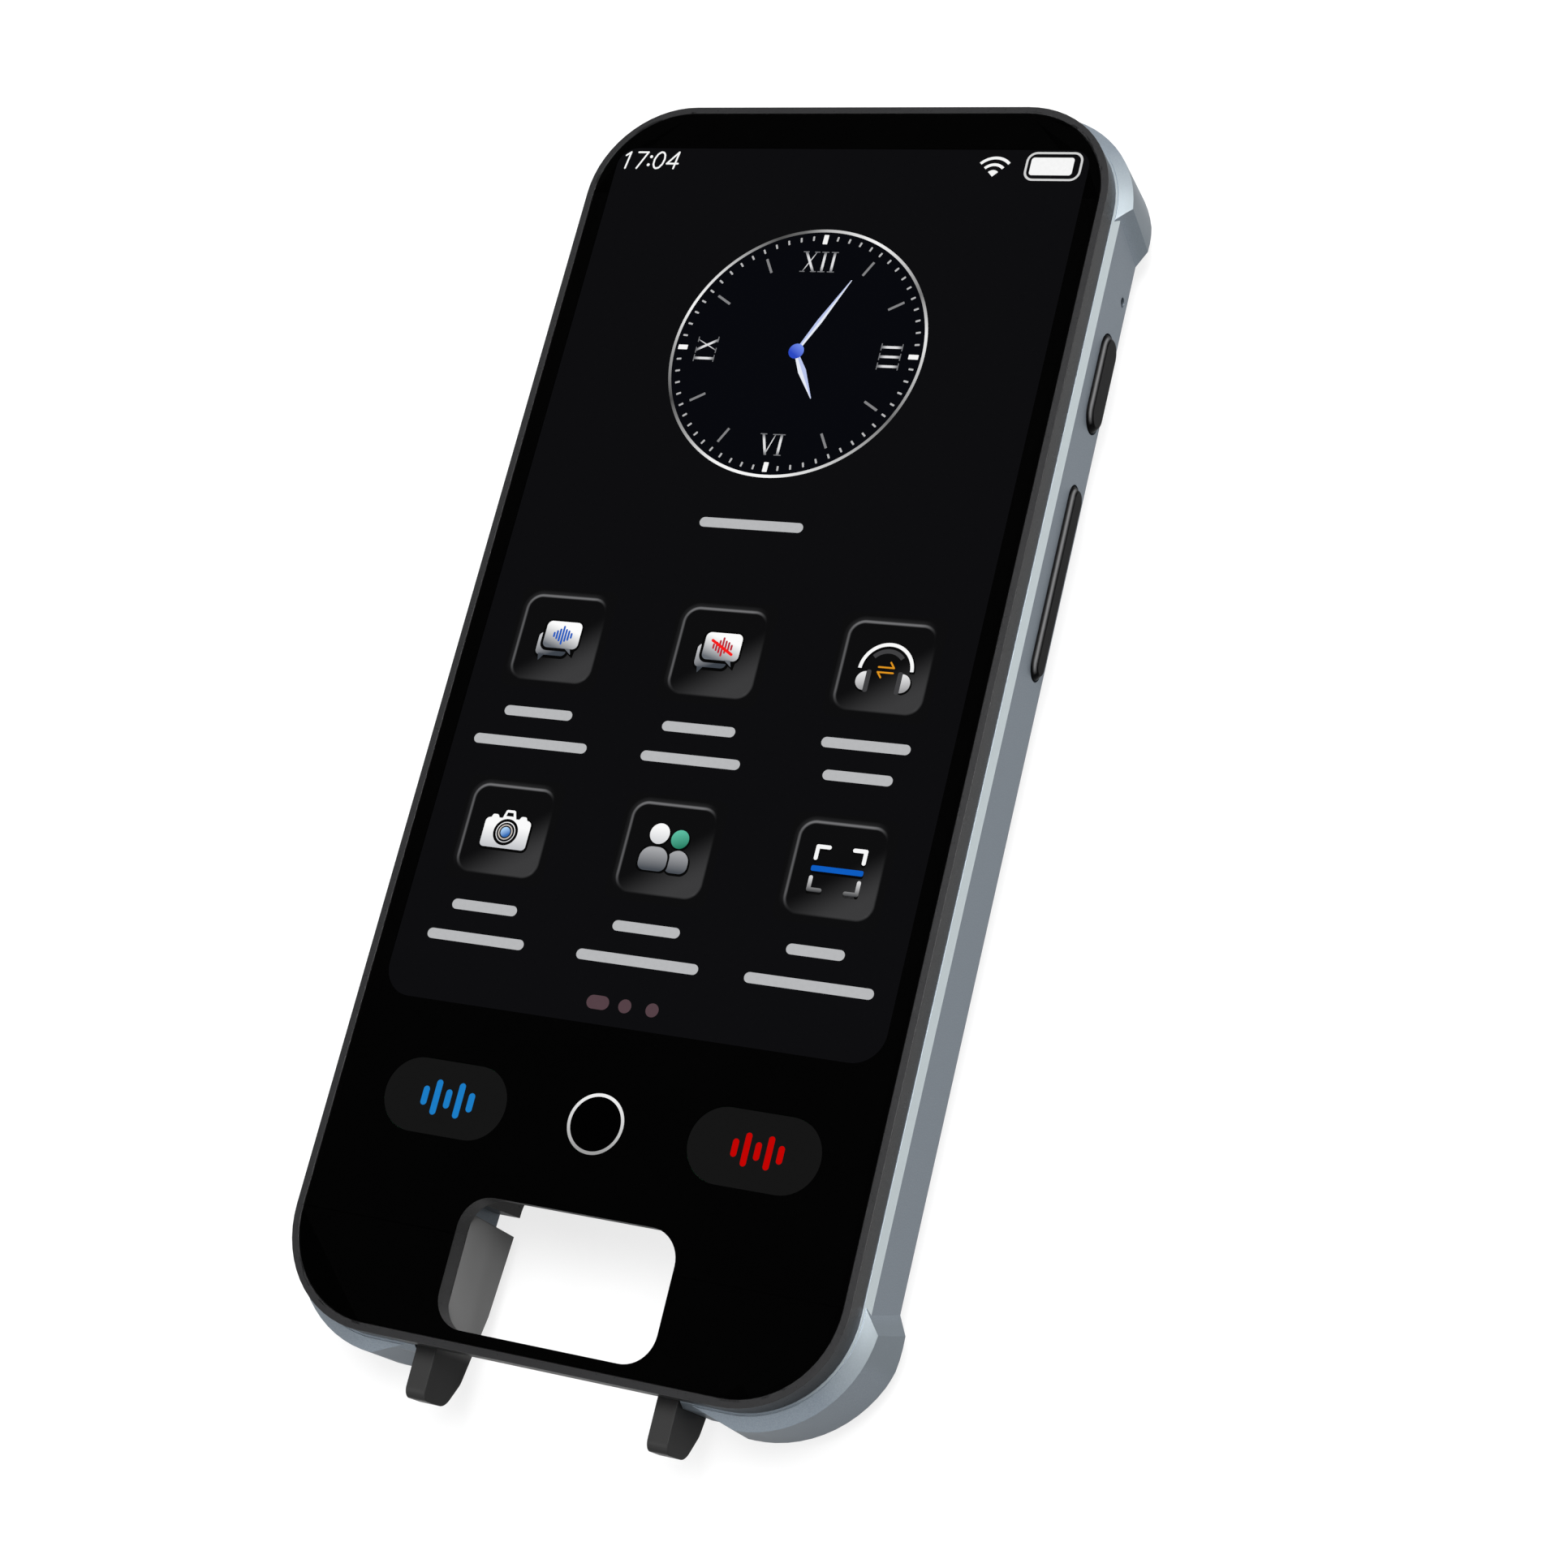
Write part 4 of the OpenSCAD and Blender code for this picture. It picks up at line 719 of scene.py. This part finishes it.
def speech_icon(name, place, voice, struck, lift):
    """Two speech bubbles, the front one with the bars of a voice."""
    tile(name, place)
    front, rear = moved(place, 0.34, 0.38 + lift), moved(place, -0.52, -0.62 + lift)
    shaded(name + "_rear", rounded(0, 0, 3.3, 2.3, 0.5), UI[1], SLATE, rear)
    mark(name + "_rear_tail", [[(-1.3, -1.0), (-0.55, -1.0), (-1.12, -1.75)]], UI[2], REAR_TAIL,
         rear)
    mark(name + "_gap", [rounded(0, 0, 4.3, 3.25, 0.8)], UI[3], INK, moved(front, -0.04, -0.06))
    mark(name + "_tail_gap", [[(0.2, -1.3), (1.75, -1.3), (1.62, -2.3)]], UI[3], INK, front)
    mark(name + "_front", [rounded(0, 0, 3.82, 2.75, 0.55)], UI[4], SILVER, front)
    mark(name + "_front_tail", [[(0.5, -1.3), (1.15, -1.3), (1.36, -1.95)]], UI[4], FRONT_TAIL,
         front)
    mark(name + "_voice", voice_bars(), UI[5], voice, moved(front, 0.02, -0.02))
    if struck:
        mark(name + "_stroke", [stroke(-1.13, 0.56, 1.13, -0.72, 0.28)], UI[6], BRIGHT_RED, front)


def headphone_icon(name, place):
    """Headphones over two arrows that point opposite ways."""
    tile(name, place)
    middle = moved(place, 0.11, -0.34)
    shaded(name + "_band", arc_band(2.4, 2.74, 2, 178, 40), UI[1], PALE, middle, ink=0.12)
    mark(name + "_cushion", [arc_band(1.7, 2.12, 42, 138)], UI[2], DARK_PAD, middle)
    for side, word in ((-1, "left"), (1, "right")):
        bulge = [(side * 0.92 * math.sin(a), 0.93 * math.cos(a)) for a in degrees(10, 170, 10)]
        cup = moved(middle, side * 1.78, -1.12)
        shaded(f"{name}_{word}_cup", [(0, 0.93), *bulge, (0, -0.93)], UI[2], CUP, cup, ink=0.1)
        mark(f"{name}_{word}_ear", [rounded(0, 0, 0.46, 2.2, 0.2)], UI[4], DARK_PAD,
             moved(cup, -side * 0.22, 0))
    swap = moved(place, 0.14, -0.27)
    for side, word in ((1, "to"), (-1, "fro")):
        row, tip, back = side * 0.25, side * 0.76, side * 0.36
        mark(f"{name}_{word}", [stroke(-0.76, row, 0.76, row, 0.16)], UI[2], AMBER, swap)
        mark(f"{name}_{word}_head", [stroke(tip, row, back, tip, 0.16)], UI[3], AMBER, swap)


def camera_body():
    """Outline of a camera, from its lower right corner on, with two humps on top."""
    hump = [(1.94, 1.4), (1.82, 1.66), (1.7, 1.72), (1.36, 1.72), (1.22, 1.64), (1.08, 1.4)]
    return (arc(2.05, -1.13, 0.42, degrees(-90, 0, 15)) + arc(2.0, 0.9, 0.47, degrees(0, 90, 15))
            + hump + [(-x, y) for x, y in reversed(hump)]
            + arc(-2.0, 0.9, 0.47, degrees(90, 180, 15))
            + arc(-2.05, -1.13, 0.42, degrees(180, 270, 15)))


def camera_icon(name, place):
    tile(name, place)
    middle = moved(place, 0.06, -0.24)
    shaded(name + "_body", camera_body(), UI[1], PALE, middle, ink=0.16)
    grip = [(-0.74, 1.38), (-0.5, 2.16), (-0.36, 2.24), (0.36, 2.24), (0.5, 2.16), (0.74, 1.38)]
    shaded(name + "_grip", grip, UI[1], PALE, middle, ink=0.12)
    mark(name + "_grip_hole", [[(-0.4, 1.62), (-0.3, 1.98), (0.3, 1.98), (0.4, 1.62)]], UI[3],
         INK, middle)
    lens = moved(middle, -0.02, 0.04)
    rings = ((1.31, 1.03, INK), (0.94, 0.8, INK), (0.68, 0.5, WARM))
    for i, (outer, inner, finish) in enumerate(rings):
        mark(f"{name}_ring_{i}", ring(outer, inner), UI[3], finish, lens)
    mark(name + "_iris", [disc(0, 0, 0.84)], UI[4], IRIS, lens)
    mark(name + "_iris_ring", ring(0.75, 0.64), UI[5], WARM, lens)
    mark(name + "_pupil", [disc(0, 0, 0.5)], UI[5], PUPIL, lens)


def shoulders(width, height):
    """A rounded bust: wide curves above, smaller ones below."""
    return rounded(0, 0, width, height, (1.18, 1.18, 0.72, 0.72), 8)


def people_icon(name, place):
    """One person in front of another."""
    tile(name, place)
    shaded(name + "_rear_head", disc(0, 0, 0.9), UI[1], GREEN, moved(place, 1.1, 1.12), ink=0.12)
    shaded(name + "_rear_bust", shoulders(2.3, 2.2), UI[1], SHOULDER, moved(place, 1.32, -1.06),
           ink=0.14)
    mark(name + "_gap", [shoulders(3.24, 2.62)], UI[3], INK, moved(place, -1.1, -1.02))
    shaded(name + "_front_head", disc(0, 0, 1.0), UI[1], PALE, moved(place, -1.08, 1.45),
           ink=0.12)
    mark(name + "_front_bust", [shoulders(2.9, 2.32)], UI[4], SHOULDER, moved(place, -1.12, -1.0))


def bracket(side_x, side_y):
    """The two legs of one corner of the scan frame."""
    thick, length, half_width, half_height = 0.38, 1.3, 2.54, 2.22
    x, y = side_x * (half_width - thick / 2), side_y * (half_height - thick / 2)
    reach = length - thick / 2
    return (stroke(x, y, x - side_x * reach, y, thick),
            stroke(x, y, x, y - side_y * reach, thick))


def scan_icon(name, place):
    """Four corners of a frame round a line."""
    tile(name, place)
    middle = moved(place, 0.12, 0)
    for side_x, side in ((-1, "left"), (1, "right")):
        for side_y, row, finish in ((1, "top", WHITE), (-1, "low", CORNER_FADE)):
            for leg, outline in enumerate(bracket(side_x, side_y)):
                leg_name = f"{name}_{row}_{side}_{leg}"
                mark(leg_name + "_shadow", [outline], UI[leg], INK, moved(middle, 0, -0.22))
                mark(leg_name, [outline], UI[2 + leg], finish, middle)
    mark(name + "_line_shadow", [rounded(0, 0, 5.14, 0.58, 0.2)], UI[1], INK,
         moved(middle, 0, -0.24))
    mark(name + "_line", [rounded(0, 0, 5.1, 0.52, 0.16)], UI[4], DEEP_BLUE,
         moved(middle, 0, -0.04))


def app_icons():
    places = [(x, y) for y in ICON_ROWS for x in ICON_COLUMNS]
    speech_icon("app_1", places[0], VOICE_BLUE, False, 0.0)
    speech_icon("app_2", places[1], CRIMSON, True, 0.22)
    headphone_icon("app_3", places[2])
    camera_icon("app_4", places[3])
    people_icon("app_5", places[4])
    scan_icon("app_6", places[5])
    for row, y in enumerate(CAPTION_ROWS):
        for column, x in enumerate(ICON_COLUMNS):
            caption(f"app_{3 * row + column + 1}", x, y, CAPTIONS[row][column])


# The clock ----------------------------------------------------------------------------------------

CLOCK = (0.0, 35.94)
CLOCK_RADIUS = 13.43
DIAL_TURN = -0.4
MINUTE_TURN = 6
STEM_HEIGHT = 2.24
SERIF_HALF = 0.045
SERIF_RISE = 1.08
# Brightness of the ring at angles counted clockwise from the top.
RING_LIGHT = ((270, 165), (245, 72), (225, 168), (205, 248), (180, 250), (145, 190), (120, 112),
              (90, 215), (80, 238), (60, 118), (25, 250), (2, 190), (-10, 112), (-22, 78),
              (-35, 150), (-50, 214), (-70, 250), (-90, 165))


def numeral_finish(name, lying):
    """Steel that is bright across the middle of a numeral and dim at both ends."""
    finish = own_light(name)
    height = finish.math("ABSOLUTE", finish.axes(finish.place)[0 if lying else 1])
    spread = finish.remap(height, 0.35 * MM, 1.15 * MM, 0, 1, smooth=True)
    return finish.glow(finish.blend(spread, srgb(226, 226, 228), srgb(112, 113, 116)))


STEEL_UPRIGHT = numeral_finish("ui_steel_upright", False)
STEEL_LYING = numeral_finish("ui_steel_lying", True)


def stem(x, slant=0.0, thick=0.26):
    low, high, half = -STEM_HEIGHT / 2, STEM_HEIGHT / 2, thick / 2
    return [(x - half - slant, low), (x + half - slant, low),
            (x + half + slant, high), (x - half + slant, high)]


def serif(x, side, width=0.74):
    """The short bar across a stem's end, side being 1 at the top and -1 at the bottom."""
    y = side * SERIF_RISE
    return [(x - width / 2, y - SERIF_HALF), (x + width / 2, y - SERIF_HALF),
            (x + width / 2, y + SERIF_HALF), (x - width / 2, y + SERIF_HALF)]


def letter(kind, x):
    """Stems and serifs of one letter about x."""
    if kind == "I":
        return [stem(x), serif(x, 1), serif(x, -1)]
    if kind == "V":
        return [stem(x - 0.3, -0.34), stem(x + 0.32, 0.36, 0.1),
                serif(x - 0.6, 1, 0.7), serif(x + 0.66, 1, 0.6)]
    return [stem(x, -0.6, 0.28), stem(x, 0.58, 0.1), serif(x - 0.6, 1, 0.62),
            serif(x + 0.58, 1, 0.56), serif(x - 0.58, -1, 0.56), serif(x + 0.6, -1, 0.62)]


def numeral(name, letters, turn, x, y):
    """A roman numeral on the dial, built from stems and serifs."""
    widths = {"I": 1.02, "V": 1.62, "X": 1.9}
    finish = STEEL_LYING if turn else STEEL_UPRIGHT
    left = -sum(widths[kind] for kind in letters) / 2
    parts = []
    for kind in letters:
        parts += letter(kind, left + widths[kind] / 2)
        left += widths[kind]
    for i, part in enumerate(parts):
        mark(f"{name}_{i}", [turned(part, turn)], UI[1 + i % 3], finish, moved(CLOCK, x, y))


def hand(name, minutes, length, width, root, level):
    """A pointed hand in two facets that swells near the middle."""
    for side, finish in ((-1, HAND_DIM), (1, HAND_LIT)):
        blade = [(0, 0.3), (side * root / 2, 0.3), (side * width / 2, length * 0.42),
                 (side * 0.04, length), (0, length)]
        mark(f"{name}_{side + 1}", [turned(blade, -MINUTE_TURN * minutes)], level, finish, CLOCK)


def ring_finish():
    """Brushed silver whose brightness changes round the dial."""
    finish = own_light("ui_ring")
    radial = finish.add("ShaderNodeTexGradient", gradient_type="RADIAL")
    finish.join(finish.place, radial.inputs["Vector"])
    stops = [(min(1.0, max(0.0, 0.75 - turn / 360)), srgb(level, level, level))
             for turn, level in RING_LIGHT]
    return finish.glow(finish.ramp(radial.outputs["Fac"], stops))


def dial_bar(radius, width, length, bevel, minute):
    """One bar of the dial at a minute, with its middle at the given radius."""
    return turned(rounded(0, radius, width, length, bevel, 2), DIAL_TURN - MINUTE_TURN * minute)


def clock():
    mark("dial", [disc(0, 0, CLOCK_RADIUS - 0.1, 96)], UI[0], DIAL, CLOCK)
    mark("dial_ring", ring(CLOCK_RADIUS, CLOCK_RADIUS - 0.3, RING_STEPS), UI[1], ring_finish(),
         CLOCK)
    minutes = [m for m in range(60) if m % 15]
    ticks = [dial_bar(12.46, 0.19, 0.5, 0.05, m) for m in minutes]
    quarters = [dial_bar(12.32, 0.5, 1.02, 0.06, m) for m in range(0, 60, 15)]
    hours = [dial_bar(10.66, 0.25, 1.72, 0.04, m) for m in minutes if m % 5 == 0]
    mark("dial_minutes", ticks, UI[1], TICK, CLOCK)
    mark("dial_quarters", quarters, UI[1], WHITE, CLOCK)
    mark("dial_hours", hours, UI[1], GREY, CLOCK)
    numeral("dial_twelve", "XII", 0, 0.0, 9.84)
    numeral("dial_six", "VI", 0, 0.0, -9.94)
    numeral("dial_three", "III", -90, 9.9, -0.16)
    numeral("dial_nine", "IX", 90, -9.72, -0.1)
    hand("minute_hand", 4.43, 8.84, 0.56, 0.34, UI[3])
    hand("hour_hand", 25.02, 5.66, 0.82, 0.42, UI[4])
    mark("dial_hub", [disc(0, 0, 0.8)], UI[5], HUB, moved(CLOCK, 0.03, 0.06))


# Status bar, page dots and touch keys -------------------------------------------------------------

TIME_PLACE = (-21.72, 57.0)
TIME_DIGITS = (("1", -2.78), ("7", -1.18), ("0", 0.98), ("4", 2.62))
DIGIT_HALF_WIDTH = 0.56
DIGIT_HALF_HEIGHT = 0.93
DIGIT_LEAN = 0.14
DIGIT_THICK = 0.2
BATTERY_PLACE = (21.86, 56.62)
LEVEL_PLACE = (21.68, 56.62)
SIGNAL_PLACE = (15.83, 55.46)
PAGE_ROW = -30.25
PAGE_DOT = 1.3
KEY_ROW = -41.22
KEY_BARS = (0.58, 1.34, 0.58, 1.34, 0.58)


def digit_lines():
    """The lines of each plain digit, as lists of points."""
    w, h = DIGIT_HALF_WIDTH, DIGIT_HALF_HEIGHT
    bar = -h * 0.42
    return {"1": [[(-0.28, h * 0.62), (0.16, h)], [(0.16, h), (0.16, -h)]],
            "7": [[(-w, h), (w, h)], [(w, h), (-0.12, -h)]],
            "0": [[(w * math.cos(a), h * math.sin(a)) for a in degrees(0, 360, 12)]],
            "4": [[(0.3, -h), (0.3, h)], [(0.3, h), (-w - 0.08, bar)],
                  [(-w - 0.08, bar), (w + 0.08, bar)]]}


def time_digits():
    """The time in plain stroked digits, leaning slightly."""
    lines = digit_lines()
    for i, (digit, shift) in enumerate(TIME_DIGITS):
        for j, line in enumerate(lines[digit]):
            points = [(x + DIGIT_LEAN * y + shift, y) for x, y in line]
            for k, (start, end) in enumerate(zip(points, points[1:])):
                mark(f"time_{i}_{j}_{k}", [stroke(*start, *end, DIGIT_THICK, 4)],
                     UI[1 + (j + k) % 3], WHITE, TIME_PLACE)
    for word, y in (("low", -0.52), ("high", 0.42)):
        mark(f"time_dot_{word}", [disc(-0.1 + DIGIT_LEAN * y, y, 0.17, 16)], UI[1], WHITE,
             TIME_PLACE)


def status_bar():
    time_digits()
    case = [rounded(0, 0, 5.74, 3.14, 1.0), rounded(0, 0, 5.3, 2.7, 0.8)]
    mark("battery_outline", case, UI[1], OUTLINE, BATTERY_PLACE)
    mark("battery_level", [rounded(0, 0, 4.34, 1.92, 0.3)], UI[1], WHITE, LEVEL_PLACE)
    for i, (inner, outer) in enumerate(((0.0, 0.72), (1.16, 1.46), (1.9, 2.2))):
        mark(f"signal_{i}", [arc_band(inner, outer, 44, 136)], UI[1], WHITE, SIGNAL_PLACE)
    caption("place", 0.0, 17.55, ((-0.02, 10.9),))
    for i, (x, width) in enumerate(((-2.92, 2.3), (-0.14, PAGE_DOT), (2.64, PAGE_DOT))):
        dot = stroke(-width / 2 + 0.65, 0, width / 2 - 0.649, 0, PAGE_DOT)
        mark(f"page_{i}", [dot], UI[1], MAUVE, (x, PAGE_ROW))


def touch_marks():
    """The lit signs of the touch keys: bars on both outer ones and a ring on the home key."""
    for name, middle, size, finish in (("left", -15.4, 1.0, BLUE), ("right", 16.08, 0.91, RED)):
        bars = [stroke(1.21 * i * size, -h * size, 1.21 * i * size, h * size, 0.64 * size)
                for i, h in zip(range(-2, 3), KEY_BARS)]
        mark(name + "_key_bars", bars, KEY_SHEET, finish, (middle, KEY_ROW))
    mark("home_key_ring", ring(2.8, 2.5, 96), KEY_SHEET, HOME, (0.03, KEY_ROW))


# Floor and light ----------------------------------------------------------------------------------

FLOOR_REACH = 4.0
FLOOR_ROUGHNESS = 0.9
PAPER_PATTERN = 0.3
# The floor's own white near the object, and the distances over which it rises to 1.
SHADOWED_WHITE = 0.8
SHADOW_REACH = (0.15, 0.6)
MIRRORED_SHARE = 0.25
# How far up a ray points for the bright sky to end and for the dim sky to begin.
SKY_BRIGHT = 0.28
SKY_DIM = 0.62
SKY_DIM_LIGHT = (0.012, 0.012, 0.012, 1)
MATT_SHARE = 0.45
# Name, place, aim, size and power of the lamps.
LAMPS = (
    ("key_light", (0.2, 0.22, 1.0), (0, 0, 0), (0.6, 0.6), 16),
    ("fill_light", (-0.6, -0.6, 0.8), (0, 0, 0), (0.6, 0.6), 3),
    ("rear_light", (0.1, 0.95, 0.6), (0, 0, 0), (0.9, 0.4), 2),
    ("side_light", (0.85, 0.28, 0.12), (0, 0, 0.01), (0.9, 0.24), 0.9),
    ("line_light", (0.82, 0.28, 0.31), (0, 0, 0.01), (0.9, 0.035), 1.5),
)


def floor_finish():
    """Pale paper that lights the object no more than paper does, and is drawn as white to the
    camera and, weaker, in reflections. The white keeps the object's shadow."""
    finish = Finish("floor").set(roughness=FLOOR_ROUGHNESS, specular_ior_level=0.0)
    paper = finish.noise(PAPER_PATTERN)
    finish.colour(finish.blend(paper, srgb(122, 122, 122), srgb(128, 128, 128)))
    shown = finish.add("ShaderNodeBsdfPrincipled")
    shown.inputs["Roughness"].default_value = FLOOR_ROUGHNESS
    shown.inputs["Specular IOR Level"].default_value = 0.0
    shown.inputs["Emission Color"].default_value = WHITE_LIGHT
    apart = finish.vector("LENGTH", finish.place, out="Value")
    strength = finish.remap(apart, *SHADOW_REACH, SHADOWED_WHITE, 1)
    finish.join(strength, shown.inputs["Emission Strength"])
    white = finish.blend(paper, srgb(128, 128, 128), srgb(132, 132, 132))
    finish.join(white, shown.inputs["Base Color"])
    path = finish.add("ShaderNodeLightPath").outputs
    mirrored = finish.product(path["Is Glossy Ray"], MIRRORED_SHARE)
    seen = finish.math("MAXIMUM", path["Is Camera Ray"], mirrored)
    seen = finish.math("MAXIMUM", seen, path["Is Transmission Ray"])
    finish.show_mix(seen, finish.shader, shown)
    finish.material.cycles.emission_sampling = "NONE"
    return finish


def floor():
    mesh = bpy.data.meshes.new("floor")
    corners = [(x * FLOOR_REACH, y * FLOOR_REACH, 0)
               for x, y in ((-1, -1), (1, -1), (1, 1), (-1, 1))]
    mesh.from_pydata(corners, [], [(0, 1, 2, 3)])
    mesh.materials.append(floor_finish().material)
    plane = new_object("floor", mesh)
    plane.location.z = CAD_BOX[0][2]


def sky():
    """A pale studio: bright near the horizon, dim overhead, weaker as light for matt surfaces, and
    plain white to the camera."""
    world = bpy.data.worlds.new("studio")
    world.use_nodes = True
    nodes = Nodes(world.node_tree)
    output = nodes.add("ShaderNodeOutputWorld")
    background = nodes.add("ShaderNodeBackground")
    path = nodes.add("ShaderNodeLightPath").outputs
    place = nodes.add("ShaderNodeTexCoord").outputs["Generated"]
    strength = nodes.remap(path["Is Diffuse Ray"], 0, 1, 1, MATT_SHARE)
    nodes.join(strength, background.inputs["Strength"])
    stops = ((SKY_BRIGHT, WHITE_LIGHT), (SKY_DIM, SKY_DIM_LIGHT))
    light = nodes.ramp(nodes.axes(place)[2], stops)
    seen = nodes.blend(path["Is Camera Ray"], light, WHITE_LIGHT)
    nodes.join(seen, background.inputs["Color"])
    nodes.join(background.outputs[0], output.inputs["Surface"])
    bpy.context.scene.world = world


def softbox(name, place, aim, size, power):
    data = bpy.data.lights.new(name, "AREA")
    data.shape = "RECTANGLE"
    data.size, data.size_y = size
    data.energy = power
    lamp = new_object(name, data)
    lamp.location = place
    lamp.visible_camera = False
    lamp.rotation_euler = (Vector(aim) - Vector(place)).to_track_quat("-Z", "Y").to_euler()


def lights():
    sky()
    for lamp in LAMPS:
        softbox(*lamp)


make_camera()
dress_nodes()
return_springs()
app_icons()
clock()
status_bar()
touch_marks()
floor()
lights()
scene = bpy.context.scene
scene.view_settings.view_transform = "Standard"
